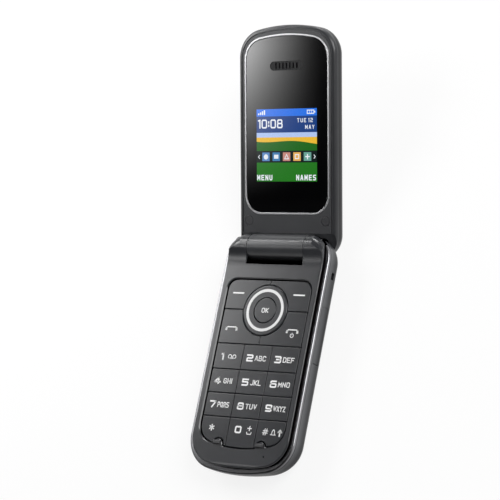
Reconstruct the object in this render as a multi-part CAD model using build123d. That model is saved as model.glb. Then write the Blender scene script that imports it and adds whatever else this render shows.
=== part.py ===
from build123d import *
from math import atan2, cos, degrees, hypot, radians, sin, sqrt, tan
import os

# Flip phone with a keypad base and a folding display lid, in millimetres.
# The base lies on its back: +Z leaves the keypad, +Y runs to the hinge, +X is
# the side with the connector flap. The origin is the centre of the flat rear
# face. Lid pieces are drawn closed over the keypad, then turned open about
# the hinge axis, which runs along X.

# --- base form
base_width = 47.5
base_length = 94.0
base_height = 12.0
end_arc_r = 68.0
lower_corner_r = 12.8
upper_corner_r = 10.6
rear_edge_r = 6.0
rear_sweep_r = 16.0
rear_sweep_run = 12.3
front_nose_run = 4.0
front_nose_drop = 1.8

# --- hinge
shoulder_r = 5.1
shoulder_end_r = 4.2
axis_below_front = 3.04
blend_run = 8.5
open_angle = 160.0
rear_wall_tilt = 14.0
shoulder_width = 10.95
knuckle_end_gap = 0.2
knuckle_swing_gap = 0.4
slot_front_run = 7.6
slot_depth = 5.6
slot_wall = 1.3
running_gap = 0.05
barrel_wall = 1.1
barrel_length = 6.5
barrel_gap = 0.1
bush_seat = 4.2
spindle_seat = 4.6

# --- layers of the base, measured from the front face or the rear face
trim_top_drop = 1.3
trim_height = 1.1
trim_edge_r = 0.8
plateau_side_in = 1.8
plateau_end_in = 2.0
plateau_edge_r = 0.6
plateau_taper_r = 46.0
plateau_meet_r = 2.0
trim_end_run = 1.0
front_plate = 1.5
front_wall_in = 3.4
groove_size = 0.3
cover_side_height = 4.5
cover_wall = 1.1
cover_gap = 0.1
cover_arc_r = 13.4
cover_arc_run = 15.5
rear_wall_in = 2.2
floor_bottom = 5.8
floor_thickness = 0.8

# --- keypad
keypad_side_in = 4.55
keypad_top_run = 13.6
keypad_end_in = 9.5
keypad_end_r = 55.0
keypad_upper_r = 4.2
keypad_lower_r = 7.0
keypad_bevel = 0.6
nav_block = 25.7
nav_centre_run = 12.1
row_shares = (0.2494, 0.2319, 0.2294)
key_groove = 0.3
key_edge_gap = 0.28
key_drop = 0.55
key_plate = 0.75
key_edge_r = 0.22
key_travel = 0.25
key_air = 0.06
plunger_r = 1.2
plunger_length = 0.3
side_key_shift = 1.1
soft_key_rise = 6.5
call_key_drop = 7.5
nav_r = 9.9
nav_ring_r = 7.8
nav_ring_width = 1.1
nav_tilt = 1.5
ok_r = 5.0
ok_gap = 0.2
nav_height_gain = 0.3
mat_thickness = 0.35
mat_margin = 0.6
dome_r = 2.2
dome_height = 0.3
dome_air = 0.05
board_thickness = 1.0
board_gap = 0.1

# --- lid form
lid_gap = 0.8
lid_side_in = 1.45
lid_end_in = 3.4
lid_hinge_run = 4.5
lid_lower_corner_r = 10.8
lid_upper_corner_r = 9.6
lid_thickness = 7.8
lid_end_thickness = 7.0
lid_outer_edge_r = 5.2
lid_inner_edge_r = 1.6
lid_parting = 2.2
lid_shell_wall = 1.6
lid_trough_gap = 0.5
lid_plate_margin = 1.75
lid_neck_run = 5.6
lid_floor_gap = 0.25
lid_nose_drop = 2.2
lid_nose_run = 8.5
lid_bend_run = 5.0
heel_run = 3.3
heel_r = 8.75
heel_angle = 59.0
trough_low_angle = 58.0
trough_high_angle = 117.0

# --- lid face
ring_side_in = 2.9
ring_low_run = 12.7
ring_end_in = 3.4
ring_lower_r = 7.5
ring_upper_r = 8.5
ring_stroke = 0.7
ring_depth = 0.9
window_gap = 0.12
window_thickness = 0.85
view_side_in = 5.5
view_low_in = 12.7
view_end_in = 28.8
earpiece_end_in = 12.3
earpiece_width = 15.0
earpiece_height = 3.5
plug_side_in = 4.6
plug_run = 10.3
plug_r = 1.9

# --- inner pieces
battery_side_in = 6.75
battery_end_in = 12.8
battery_thickness = 4.4
bay_gap = 0.3
bay_top_run = 25.4
speaker_r = 7.4
speaker_run = 16.9
speaker_height = 3.2
speaker_shelf = 0.8
screw_r = 0.7
screw_head_r = 1.5
screw_head_height = 0.8
screw_recess = 1.2
boss_r = 1.7
upper_screw_side_in = 9.25
upper_screw_run = 10.9
lower_screw_side_in = 7.5
lower_screw_end_in = 8.6
cartridge_r = 2.7
spindle_r = 1.5
bush_r = 2.4
bush_bore_r = 1.6
mic_side_in = 11.55
mic_end_in = 7.2
mic_r = 1.9
mic_port_r = 0.35
bumper_x = 9.7
bumper_lobe_r = 2.2
bumper_width = 3.4
bumper_length = 1.5
bumper_in = 0.8
flap_low_run = 44.5
flap_length = 22.0
flap_bottom = 5.0
flap_height = 3.6
flap_thickness = 1.15
flap_gap = 0.1
flap_pin_r = 0.35
flap_pin_length = 0.3
socket_length = 15.0
socket_height = 2.4
socket_depth = 4.3
strap_run = 10.0
strap_hole_length = 2.7
strap_hole_height = 1.8
strap_hole_z = 6.3
strap_chamber_side_in = 5.35
strap_chamber_width = 3.2
strap_wall = 0.6
strap_post_r = 0.7
socket_rim = 0.35
rail_depth = 0.6
rail_height = 0.6
rail_low_z = 3.1
rail_top_run = 31.9
tab_length = 4.0
tab_end_in = 25.0
sound_slot_width = 9.0
sound_slot_height = 1.0
contact_side_in = 5.0
contact_width = 9.0
contact_depth = 1.4
contact_pitch = 2.8
contact_shelf = 1.0
blade_width = 1.0
sim_x = 0.0
sim_run_in = 24.5
sim_width = 18.0
sim_length = 15.0
sim_thickness = 0.45
sim_rim = 1.2
motor_x = -3.0
motor_end_in = 8.7
motor_length = 10.0
motor_r = 1.9
motor_gap = 0.2
motor_shaft_r = 0.4
weight_length = 1.8
antenna_x = 6.8
antenna_end_in = 7.1
antenna_size = 7.1
shield_side_in = 9.75
shield_end_in = 25.0
shield_top_in = 4.5
nav_seat = 0.35
nav_rock_gap = 0.3
nav_nub_run = 7.4
inlay_depth = 0.3
cartridge_gap = 0.3
cartridge_end = 1.5
spindle_end_in = 2.3
flex_r = 1.2
flex_x = 3.4
flex_width = 5.0
flex_thickness = 0.3
flex_tail_run = 13.9
neck_top_run = 2.2
neck_back_run = 3.7
neck_floor_gap = 0.2
plug_depth = 0.5
ring_proud = 0.08
module_margin = 2.6
module_thickness = 2.2
backlight_thickness = 0.7
glass_gap = 0.05
lid_board_thickness = 0.6
magnet_side_in = 10.3
magnet_length = 5.0
magnet_width = 2.0
magnet_run_in = 3.6
post_r = 1.6
post_end_in = 1.0
post_bore_end_in = 2.5
lid_screw_end_in = 3.0
grille_pitch = 1.6
grille_slots = 7
grille_end_in = 0.6
grille_slot_width = 0.7
bush_reach = 3.6

# --- places worked out from the sizes above
half_width = base_width / 2
knuckle_width = base_width - 2 * shoulder_width
top_y = base_length / 2
low_y = -base_length / 2
hinge_y = top_y - shoulder_r
hinge_z = base_height - axis_below_front
split_z = base_height - trim_top_drop - trim_height
trim_top_z = base_height - trim_top_drop
plate_under_z = base_height - front_plate
floor_top_z = floor_bottom + floor_thickness
keypad_half_width = half_width - keypad_side_in
keypad_top_y = hinge_y - keypad_top_run
keypad_low_y = low_y + keypad_end_in
number_length = keypad_top_y - nav_block - keypad_low_y
column_width = 2 * keypad_half_width / 3
nav_y = keypad_top_y - nav_centre_run
key_top_z = base_height - key_drop
key_under_z = key_top_z - key_plate
knuckle_half = knuckle_width / 2
shoulder_x = knuckle_half + knuckle_end_gap
cavity_top_y = hinge_y - slot_front_run - slot_wall
lid_z = base_height + lid_gap
lid_rise = lid_z - hinge_z
trough_r = shoulder_r + lid_trough_gap
lid_width = base_width - 2 * lid_side_in
lid_free_run = base_length - shoulder_r - lid_end_in
lid_low_y = hinge_y - lid_free_run
lid_top_y = hinge_y + lid_hinge_run
plunger_end_z = key_under_z - plunger_length
mat_top_z = plunger_end_z - key_travel - key_air
mat_under_z = mat_top_z - mat_thickness
board_top_z = mat_under_z - dome_air - dome_height
board_under_z = board_top_z - board_thickness
bay_top_y = hinge_y - bay_top_run
battery_width = base_width - 2 * battery_side_in
battery_length = bay_top_y - bay_gap - low_y - battery_end_in
speaker_y = hinge_y - speaker_run
upper_screw_x = half_width - upper_screw_side_in
upper_screw_y = hinge_y - upper_screw_run
lower_screw_x = half_width - lower_screw_side_in
lower_screw_y = low_y + lower_screw_end_in
mic_x = half_width - mic_side_in
mic_y = low_y + mic_end_in
motor_y = low_y + motor_end_in
antenna_y = low_y + antenna_end_in
contact_x = contact_side_in - battery_width / 2
sim_y = bay_top_y - sim_run_in
rail_top_y = hinge_y - rail_top_run
tab_low_y = low_y + tab_end_in
strap_chamber_x = half_width - strap_chamber_side_in
shield_width = base_width - 2 * shield_side_in
shield_low_y = low_y + shield_end_in
shield_top_y = bay_top_y - shield_top_in
flap_low_y = hinge_y - flap_low_run
flap_top_z = flap_bottom + flap_height
flap_pin_x = half_width - flap_thickness / 2
flap_pin_y = flap_low_y + flap_thickness / 2
socket_x = half_width - flap_thickness - flap_gap - 0.2
socket_y = flap_low_y + flap_length / 2
socket_low_z = board_under_z - socket_height
bay_low_z = cover_wall + cover_gap
speaker_low_z = bay_low_z + speaker_shelf
screw_seat_z = bay_low_z + screw_head_height + screw_recess
contact_low_z = bay_low_z + contact_shelf
motor_z = board_under_z - board_gap - motor_r
lid_slope = tan(radians(180 - open_angle))
ring_half_width = lid_width / 2 - ring_side_in
ring_high_run = lid_free_run - ring_end_in
view_width = 2 * (ring_half_width - view_side_in)
view_low_run = ring_low_run + view_low_in
view_length = ring_high_run - view_end_in - view_low_run
earpiece_run = ring_high_run - earpiece_end_in
plug_half_span = lid_width / 2 - plug_side_in
magnet_x = lid_width / 2 - magnet_side_in
cartridge_length = knuckle_width / 2 - cartridge_gap
lid_floor_rise = (hinge_z - lid_floor_gap) / cos(radians(180 - open_angle)) - lid_rise
module_rise = window_thickness + glass_gap
backlight_rise = module_rise + module_thickness
lid_board_rise = backlight_rise + backlight_thickness
hinge_axis = Axis((0, hinge_y, hinge_z), (1, 0, 0))
screw_places = [
    (upper_screw_x, upper_screw_y),
    (-upper_screw_x, upper_screw_y),
    (lower_screw_x, lower_screw_y),
    (-lower_screw_x, lower_screw_y),
]


# --- shape helpers
def slab(outline, low, high):
    """A flat outline made solid between two heights."""
    return extrude(Pos(0, 0, low) * outline, amount=high - low)


def block(x0, x1, y0, y1, z0, z1):
    """A box between two corners."""
    centre = Pos((x0 + x1) / 2, (y0 + y1) / 2, (z0 + z1) / 2)
    return centre * Box(abs(x1 - x0), abs(y1 - y0), abs(z1 - z0))


def disc(x, y, r, low, high):
    """An upright cylinder."""
    return Pos(x, y, (low + high) / 2) * Cylinder(r, high - low)


def rod(r, x0, x1):
    """A cylinder on the hinge axis between two stations."""
    place = Pos((x0 + x1) / 2, hinge_y, hinge_z) * Rot(0, 90, 0)
    return place * Cylinder(r, abs(x1 - x0))


def rounded_plan(width, top, low, arc_r, low_r, high_r):
    """A plan outline with a straight top, straight sides and a bowed lower end."""
    field = Pos(0, (top + low) / 2) * Rectangle(width, top - low)
    outline = field & (Pos(0, low + arc_r) * Circle(arc_r))
    outline = fillet(outline.vertices().group_by(Axis.Y)[0], low_r)
    if high_r > 0:
        outline = fillet(outline.vertices().group_by(Axis.Y)[-1], high_r)
    return outline


def base_plan(inset=0.0):
    """Outline of the base from the front, drawn in evenly by an inset."""
    return rounded_plan(
        base_width - 2 * inset,
        top_y - inset,
        low_y + inset,
        end_arc_r - inset,
        lower_corner_r - inset,
        upper_corner_r - inset,
    )


def around_x(outline, x0, x1):
    """An outline drawn in the Y-Z plane made solid between two X stations."""
    return extrude(Pos(x0, 0, 0) * outline, amount=x1 - x0, dir=(1, 0, 0))


def runs_along_x(edge):
    return edge.geom_type == GeomType.LINE and abs(edge.tangent_at(0).X) > 0.99


def polar(r, angle):
    """A point of the Y-Z plane given from the hinge axis."""
    return (hinge_y + r * cos(radians(angle)), hinge_z + r * sin(radians(angle)))


# --- base envelope: plan outline cut to the side profile
def base_profile():
    """Side profile: flat back, lower end swept behind and rounded in front, hinge shoulder."""
    blend_r = (blend_run ** 2 + axis_below_front ** 2 - shoulder_r ** 2) / (
        2 * (shoulder_r - axis_below_front)
    )
    blend_angle = degrees(atan2(axis_below_front + blend_r, -blend_run))
    blend_centre = (hinge_y - blend_run, base_height + blend_r)
    wall_angle = 270 - rear_wall_tilt
    wall_top = polar(shoulder_r, wall_angle)
    wall_low = (hinge_y - hinge_z * tan(radians(rear_wall_tilt)), 0)
    shoulder_mid = polar(shoulder_r, (blend_angle + wall_angle - 360) / 2)
    blend_top = polar(shoulder_r, blend_angle)
    half_turn = radians((270 + blend_angle + 180) / 2)
    blend_mid = (
        blend_centre[0] + blend_r * cos(half_turn),
        blend_centre[1] + blend_r * sin(half_turn),
    )
    sweep_rise = rear_sweep_r - sqrt(rear_sweep_r ** 2 - rear_sweep_run ** 2)
    sweep_half = atan2(rear_sweep_run, rear_sweep_r - sweep_rise) / 2
    sweep_mid = (
        low_y + rear_sweep_run - rear_sweep_r * sin(sweep_half),
        rear_sweep_r * (1 - cos(sweep_half)),
    )
    nose_r = (front_nose_run ** 2 + front_nose_drop ** 2) / (2 * front_nose_drop)
    nose_half = atan2(front_nose_run, nose_r - front_nose_drop) / 2
    nose_low_z = base_height - front_nose_drop
    nose_mid = (
        low_y + front_nose_run - nose_r * sin(nose_half),
        base_height - nose_r * (1 - cos(nose_half)),
    )
    with BuildSketch(Plane.YZ) as profile:
        with BuildLine():
            Line((low_y + rear_sweep_run, 0), wall_low)
            Line(wall_low, wall_top)
            ThreePointArc(wall_top, shoulder_mid, blend_top)
            ThreePointArc(blend_top, blend_mid, (hinge_y - blend_run, base_height))
            Line((hinge_y - blend_run, base_height), (low_y + front_nose_run, base_height))
            ThreePointArc((low_y + front_nose_run, base_height), nose_mid, (low_y, nose_low_z))
            Line((low_y, nose_low_z), (low_y, sweep_rise))
            ThreePointArc((low_y, sweep_rise), sweep_mid, (low_y + rear_sweep_run, 0))
        make_face()
    return profile.sketch


def base_envelope():
    """The whole outer form of the base with its rear edges rounded."""
    tall = slab(base_plan(), 0, hinge_z + shoulder_r)
    form = tall & around_x(base_profile(), -half_width - 1, half_width + 1)
    rear = form.faces().sort_by(Axis.Z)[0]
    sweep = form.faces().filter_by(GeomType.CYLINDER)
    sweep = sweep.sort_by(lambda face: (face.center() - Vector(0, low_y, 0)).length)[0]
    edges = [edge for edge in rear.edges() + sweep.edges() if not runs_along_x(edge)]
    return fillet(edges, rear_edge_r)


def inner_envelope(inset):
    """The base form drawn in at the sides and back, for what the cover wraps."""
    form = slab(base_plan(inset), inset, split_z)
    sweep_r = rear_sweep_r - inset
    centre_y = low_y + rear_sweep_run
    far_y = centre_y - 2 * sweep_r
    with BuildSketch(Plane.YZ) as corner:
        with BuildLine():
            Line((centre_y, 0), (far_y, 0))
            Line((far_y, 0), (far_y, rear_sweep_r))
            Line((far_y, rear_sweep_r), (centre_y - sweep_r, rear_sweep_r))
            ThreePointArc(
                (centre_y - sweep_r, rear_sweep_r),
                (centre_y - sweep_r * sin(radians(45)), rear_sweep_r - sweep_r * cos(radians(45))),
                (centre_y, rear_sweep_r - sweep_r),
            )
            Line((centre_y, rear_sweep_r - sweep_r), (centre_y, 0))
        make_face()
    form = form - around_x(corner.sketch, -half_width - 1, half_width + 1)
    rear = form.faces().sort_by(Axis.Z)[0]
    sweep = form.faces().filter_by(GeomType.CYLINDER)
    sweep = sweep.sort_by(lambda face: (face.center() - Vector(0, low_y, 0)).length)[0]
    edges = [edge for edge in rear.edges() + sweep.edges() if not runs_along_x(edge)]
    return fillet(edges, rear_edge_r - inset)


def plateau_outline():
    """Raised front face: inset from the sides, widening to the full shoulders."""
    taper_y = hinge_y - blend_run
    edge_x = half_width - plateau_side_in
    low = rounded_plan(
        2 * edge_x,
        taper_y,
        low_y + plateau_end_in,
        end_arc_r - plateau_end_in,
        lower_corner_r - plateau_side_in,
        0,
    )
    lens = Pos(edge_x - plateau_taper_r, taper_y) * Circle(plateau_taper_r)
    lens = lens & (Pos(plateau_taper_r - edge_x, taper_y) * Circle(plateau_taper_r))
    field_y = (taper_y + top_y + shoulder_r) / 2
    lens = lens & (Pos(0, field_y) * Rectangle(2 * base_width, top_y + shoulder_r - taper_y))
    outline = (low + lens) & base_plan()
    meets = [v for v in outline.vertices() if hinge_y < v.Y < top_y - 1]
    return fillet(meets, plateau_meet_r)


def keypad_outline(margin=0.0):
    """The keypad opening with its bowed lower edge, grown by a margin."""
    return rounded_plan(
        2 * (keypad_half_width + margin),
        keypad_top_y + margin,
        keypad_low_y - margin,
        keypad_end_r + margin,
        keypad_lower_r + margin,
        keypad_upper_r + margin,
    )


def bumper_y():
    """Station of the lid bumpers, just inside the keypad's bowed lower edge."""
    return keypad_low_y + keypad_end_r - sqrt(keypad_end_r ** 2 - bumper_x ** 2) + bumper_in


def bumper_lobes(margin=0.0):
    """Two lobes of the front face that carry the lid bumpers."""
    lobes = Sketch()
    lobe_y = bumper_y() - bumper_length / 3
    for side in (-1, 1):
        lobes += Pos(side * bumper_x, lobe_y) * Circle(bumper_lobe_r + margin)
    return lobes


def cover_zone(gap=0.0):
    """Region behind the cover's parting line, straight and then curving to the back."""
    arc_y = hinge_y - cover_arc_run
    r = cover_arc_r + gap
    centre_z = cover_side_height - cover_arc_r
    end_y = arc_y + sqrt(r ** 2 - centre_z ** 2)
    mid_angle = (90 + degrees(atan2(-centre_z, end_y - arc_y))) / 2
    mid = (arc_y + r * cos(radians(mid_angle)), centre_z + r * sin(radians(mid_angle)))
    far_y = low_y - 5
    with BuildSketch(Plane.YZ) as zone:
        with BuildLine():
            Line((far_y, -1), (far_y, cover_side_height + gap))
            Line((far_y, cover_side_height + gap), (arc_y, cover_side_height + gap))
            ThreePointArc((arc_y, cover_side_height + gap), mid, (end_y, 0))
            Line((end_y, 0), (end_y, -1))
            Line((end_y, -1), (far_y, -1))
        make_face()
    return around_x(zone.sketch, -half_width - 1, half_width + 1)


def hinge_slot():
    """Space between the shoulders where the lid's knuckle and neck swing."""
    x0, x1 = -shoulder_x, shoulder_x
    swing_r = shoulder_r + knuckle_swing_gap
    front_y = hinge_y - slot_front_run
    space = rod(swing_r, x0, x1)
    space += block(x0, x1, front_y, hinge_y + 1, base_height - slot_depth, base_height + 9)
    neck = block(x0, x1, hinge_y - swing_r, hinge_y + swing_r, hinge_z, hinge_z + 2 * base_height)
    for angle in (0, open_angle / 2, open_angle):
        space += neck.rotate(hinge_axis, -angle)
    return space


def strap_passage():
    """Side hole that turns down into a chamber with a strap post under the cover."""
    y = hinge_y - strap_run
    half = strap_hole_length / 2
    high = strap_hole_z + strap_hole_height / 2
    low = strap_hole_z - strap_hole_height / 2
    inner_x = strap_chamber_x - strap_chamber_width / 2
    hole = block(strap_chamber_x, half_width + 1, y - half, y + half, low, high)
    chamber = block(inner_x, inner_x + strap_chamber_width, y - half, y + half, 0, high)
    return hole + chamber - disc(strap_chamber_x, y, strap_post_r, 0, high + 1)


def strap_roof():
    """Solid roof over the strap chamber, inside the board cavity."""
    low_side = hinge_y - strap_run - strap_hole_length / 2 - strap_wall
    inner_x = strap_chamber_x - strap_chamber_width / 2 - strap_wall
    high = board_under_z - board_gap
    return block(inner_x, half_width - rear_wall_in, low_side, cavity_top_y, floor_bottom, high)


# --- base pieces
envelope = base_envelope()
core = inner_envelope(cover_wall + cover_gap)
slot = hinge_slot()


def bosses(r, low, high):
    """One cylinder at each housing screw."""
    group = Part()
    for x, y in screw_places:
        group += disc(x, y, r, low, high)
    return group


def cavity_plan(inset):
    """Plan of the space inside the base, below the hinge slot."""
    field = Pos(0, cavity_top_y - base_length) * Rectangle(base_width, 2 * base_length)
    return base_plan(inset) & field


def front_housing():
    """Raised front face with hinge shoulders, keypad opening and screw bosses."""
    body = envelope & slab(plateau_outline(), split_z, hinge_z + shoulder_r + 1)
    rim = [
        edge
        for edge in body.edges()
        if edge.center().Z > trim_top_z + 0.3
        and not runs_along_x(edge)
        and abs(edge.tangent_at(0.5).Z) < 0.99
    ]
    body = fillet(rim, plateau_edge_r)
    crown = slab(base_plan(), 0, hinge_z + shoulder_r)
    body = body & fillet(crown.edges().group_by(Axis.Z)[-1], shoulder_end_r)
    opening = keypad_outline() - bumper_lobes()
    notch_corners = [v for v in opening.vertices() if abs(abs(v.X) - bumper_x) < bumper_lobe_r + 0.1]
    opening = fillet(notch_corners, bumper_lobe_r / 2)
    body -= slab(opening, split_z - 1, base_height + 1)
    edge_of_opening = [
        edge
        for edge in body.edges()
        if abs(edge.center().Z - base_height) < 0.01
        and abs(edge.center().X) < keypad_half_width + 0.05
        and keypad_low_y - 0.05 < edge.center().Y < keypad_top_y + 0.05
    ]
    body = chamfer(edge_of_opening, keypad_bevel)
    body -= slab(cavity_plan(front_wall_in), split_z - 1, plate_under_z)
    for side in (-1, 1):
        body += rod(shoulder_r - barrel_wall, side * shoulder_x, side * (shoulder_x + barrel_length))
    body += bosses(boss_r, board_under_z, plate_under_z)
    body -= bosses(screw_r, board_under_z - 1, plate_under_z - 0.2)
    body -= slot
    body -= rod(bush_r, shoulder_x - 1, shoulder_x + bush_seat)
    body -= rod(spindle_r, -shoulder_x + 1, -shoulder_x - spindle_seat)
    body -= disc(mic_x, mic_y, mic_port_r, plate_under_z - 0.5, base_height + 1)
    return body


def trim_band():
    """Bright bead around the plateau, fading out at the hinge corners."""
    bead = slab(base_plan(), split_z, trim_top_z)
    bead = fillet(bead.edges().group_by(Axis.Z)[-1], trim_edge_r)
    bead -= block(-half_width, half_width, hinge_y + trim_end_run, top_y + 1, 0, base_height)
    return (bead & envelope) - slab(plateau_outline(), split_z - 1, trim_top_z + 1)


def rear_housing():
    """Tray behind the split: board cavity above, battery bay and cover seat below."""
    body = envelope & slab(base_plan(-1), 0, split_z)
    body -= cover_zone(cover_gap) - core
    body -= slab(cavity_plan(rear_wall_in), floor_top_z, split_z + 1)
    body -= block(
        -battery_width / 2 - bay_gap,
        battery_width / 2 + bay_gap,
        bay_top_y - battery_length - 2 * bay_gap,
        bay_top_y,
        -1,
        floor_bottom,
    )
    for side in (-1, 1):
        reach = shoulder_x + barrel_length + barrel_gap
        body -= rod(shoulder_r - barrel_wall + barrel_gap, side * (shoulder_x - 1), side * reach)
    body += bosses(boss_r + 0.3, bay_low_z, board_under_z) & core
    body -= bosses(screw_r + 0.15, 0, split_z)
    body -= bosses(screw_head_r + 0.15, 0, screw_seat_z)
    body -= slab(base_plan(-1), split_z - groove_size, split_z + 1) - slab(
        base_plan(groove_size), split_z - 2, split_z + 2
    )
    body -= slot
    body += strap_roof()
    body -= strap_passage()
    body -= flap_seat()
    body -= socket_seat()
    body -= cover_rails(cover_gap)
    body -= speaker_seat()
    body -= block(
        motor_x - motor_length / 2 - motor_gap,
        motor_x + motor_length / 2 + motor_gap,
        motor_y - motor_r - motor_gap,
        motor_y + motor_r + motor_gap,
        motor_z - motor_r,
        split_z,
    )
    body -= contact_seat()
    body -= sim_recess(0.05)
    return body


def flap_seat():
    """Recess in the side band for the connector flap, with its two pin holes."""
    y0, y1 = flap_low_y - flap_gap, flap_low_y + flap_length + flap_gap
    z0, z1 = flap_bottom - flap_gap, flap_top_z + flap_gap
    seat = block(half_width - flap_thickness - flap_gap, half_width + 1, y0, y1, z0, z1)
    pin_r = flap_pin_r + running_gap
    pin_reach = flap_pin_length + flap_gap
    return seat + disc(flap_pin_x, flap_pin_y, pin_r, flap_bottom - pin_reach, flap_top_z + pin_reach)


def socket_seat():
    """Pocket for the connector body and the window in front of its mouth."""
    y0, y1 = socket_y - socket_length / 2, socket_y + socket_length / 2
    pocket = block(socket_x - socket_depth, socket_x, y0, y1, socket_low_z, split_z)
    window = block(
        socket_x - 1,
        half_width - flap_thickness,
        y0 + socket_rim,
        y1 - socket_rim,
        socket_low_z + socket_rim,
        socket_low_z + socket_height - socket_rim,
    )
    return pocket + window


def cover_rails(gap):
    """Side grooves, open at the lower end, that the cover's tabs slide along."""
    depth = rail_depth + gap
    inner_x = half_width - cover_wall - depth
    rails = Part()
    for side in (-1, 1):
        rails += block(
            side * inner_x,
            side * half_width,
            low_y - 1,
            rail_top_y + gap,
            rail_low_z - gap,
            rail_low_z + rail_height + gap,
        )
    return rails


def speaker_seat():
    """Round well for the loudspeaker and the three sound slots behind it."""
    low = speaker_low_z
    well = disc(0, speaker_y, speaker_r + 0.2, low, split_z)
    return well + sound_slots(0, low + 1)


def sound_slots(low, high):
    """Three rounded slots through the back."""
    slots = Part()
    for place in GridLocations(0, 2 * sound_slot_height, 1, 3):
        outline = Pos(0, speaker_y) * place * SlotOverall(sound_slot_width, sound_slot_height)
        slots += slab(outline, low, high)
    return slots


def contact_seat():
    """Pocket in the upper wall of the battery bay for the spring contacts."""
    half = contact_width / 2
    x0, x1 = contact_x - half, contact_x + half
    return block(x0, x1, bay_top_y - 1, bay_top_y + contact_depth, contact_low_z, floor_bottom)


def sim_recess(gap):
    """Shallow recess in the bay ceiling for the card holder."""
    return block(
        sim_x - sim_width / 2 - gap,
        sim_x + sim_width / 2 + gap,
        sim_y - sim_length / 2 - gap,
        sim_y + sim_length / 2 + gap,
        floor_bottom - 0.01,
        floor_bottom + sim_thickness,
    )


def battery_cover():
    """Thin scoop over the back, with sound slots and four sliding tabs."""
    body = (envelope & cover_zone()) - inner_envelope(cover_wall)
    body -= sound_slots(-1, cover_wall + 1)
    tab_depth = rail_depth
    for side in (-1, 1):
        inner_x = half_width - cover_wall - tab_depth
        for y in (rail_top_y - tab_length, tab_low_y):
            body += block(
                side * inner_x,
                side * (half_width - cover_wall + 0.2),
                y,
                y + tab_length,
                rail_low_z,
                rail_low_z + rail_height,
            )
    return body


# --- keypad
def key_cell(x0, x1, y0, y1):
    """One key's share of the opening, drawn back by half a groove."""
    half = key_groove / 2
    field = Pos((x0 + x1) / 2, (y0 + y1) / 2) * Rectangle(x1 - x0 - 2 * half, y1 - y0 - 2 * half)
    return field & (keypad_outline(-key_edge_gap) - bumper_lobes(key_edge_gap))


def key(outline, plunger_x, plunger_y):
    """A key cap with a rounded top edge and the plunger that meets the mat."""
    cap = slab(outline, key_under_z, key_top_z)
    cap = fillet(cap.edges().group_by(Axis.Z)[-1], key_edge_r)
    return cap + disc(plunger_x, plunger_y, plunger_r, plunger_end_z, key_under_z)


def key_centres():
    """Name and plunger place of every key that presses straight down."""
    places = {}
    names = (("1", "2", "3"), ("4", "5", "6"), ("7", "8", "9"), ("star", "0", "hash"))
    for row, row_names in enumerate(names):
        y0, y1 = row_span(row)
        for column, name in enumerate(row_names):
            places["key_" + name] = ((column - 1) * column_width, (y0 + y1) / 2)
    side_x = column_width + side_key_shift
    places["soft_key_left"] = (-side_x, nav_y + soft_key_rise)
    places["soft_key_right"] = (side_x, nav_y + soft_key_rise)
    places["call_key"] = (-side_x, nav_y - call_key_drop)
    places["end_key"] = (side_x, nav_y - call_key_drop)
    places["ok_key"] = (0, nav_y)
    return places


def row_span(row):
    """Lower and upper Y of a number row; the last row takes what is left."""
    high = keypad_top_y - nav_block - sum(row_shares[:row]) * number_length
    low = high - row_shares[row] * number_length if row < len(row_shares) else keypad_low_y
    return low, high


def number_keys():
    """The twelve number keys as a name to solid map."""
    keys = {}
    far = keypad_half_width + 1
    edges = (-far, -column_width / 2, column_width / 2, far)
    for name, (x, y) in list(key_centres().items())[:12]:
        column = round(x / column_width) + 1
        row = [r for r in range(4) if row_span(r)[0] < y < row_span(r)[1]][0]
        low, high = row_span(row)
        low = low - 1 if row == 3 else low
        keys[name] = key(key_cell(edges[column], edges[column + 1], low, high), x, y)
    return keys


def corner_keys():
    """Soft, call and end keys, cut round for the navigation ring."""
    keys = {}
    far = keypad_half_width + 1
    low = keypad_top_y - nav_block
    round_cut = Pos(0, nav_y) * Circle(nav_r + key_groove)
    for name in ("soft_key_left", "soft_key_right", "call_key", "end_key"):
        x, y = key_centres()[name]
        x0, x1 = (-far, 0) if x < 0 else (0, far)
        y0, y1 = (nav_y, keypad_top_y + 1) if y > nav_y else (low, nav_y)
        keys[name] = key(key_cell(x0, x1, y0, y1) - round_cut, x, y)
    return keys


def ok_key():
    """Round centre key with a slight dome."""
    top = key_top_z + nav_height_gain - 0.1
    cap = disc(0, nav_y, ok_r, key_under_z, top)
    cap = fillet(cap.edges().group_by(Axis.Z)[-1], 0.4)
    return cap + disc(0, nav_y, plunger_r, plunger_end_z, key_under_z)


def nav_key():
    """Ring-shaped four-way key, grooved for its bright inlay."""
    top = key_top_z + nav_height_gain
    ring = disc(0, nav_y, nav_r, key_under_z + nav_seat, top)
    ring = fillet(ring.edges().group_by(Axis.Z)[-1], 0.45)
    ring -= disc(0, nav_y, ok_r + ok_gap, key_under_z - 1, top + 1)
    return ring - nav_inlay(0.0)


def nav_inlay(lift=0.12):
    """Bright ring set into the four-way key."""
    top = key_top_z + nav_height_gain
    outer = disc(0, nav_y, nav_ring_r + nav_ring_width / 2, top - inlay_depth, top + lift)
    inner = disc(0, nav_y, nav_ring_r - nav_ring_width / 2, top - inlay_depth - 1, top + 1)
    return outer - inner


def nav_carrier():
    """Thin gimbal plate under the four-way key, with its four pressing nubs."""
    body = disc(0, nav_y, nav_r - 0.6, key_under_z - 0.1, key_under_z + nav_seat - nav_rock_gap)
    body -= disc(0, nav_y, ok_r + ok_gap, key_under_z - 1, key_under_z + 1)
    for place in PolarLocations(nav_nub_run, 4):
        x, y = place.position.X, place.position.Y + nav_y
        body += disc(x, y, plunger_r / 2 + 0.2, plunger_end_z, key_under_z)
    return body


def keypad_mat():
    """Silicone mat that seals the keys, notched where bosses pass."""
    outline = keypad_outline(mat_margin)
    return slab(outline, mat_under_z, mat_top_z) - bosses(boss_r + 0.3, 0, base_height)


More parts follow.
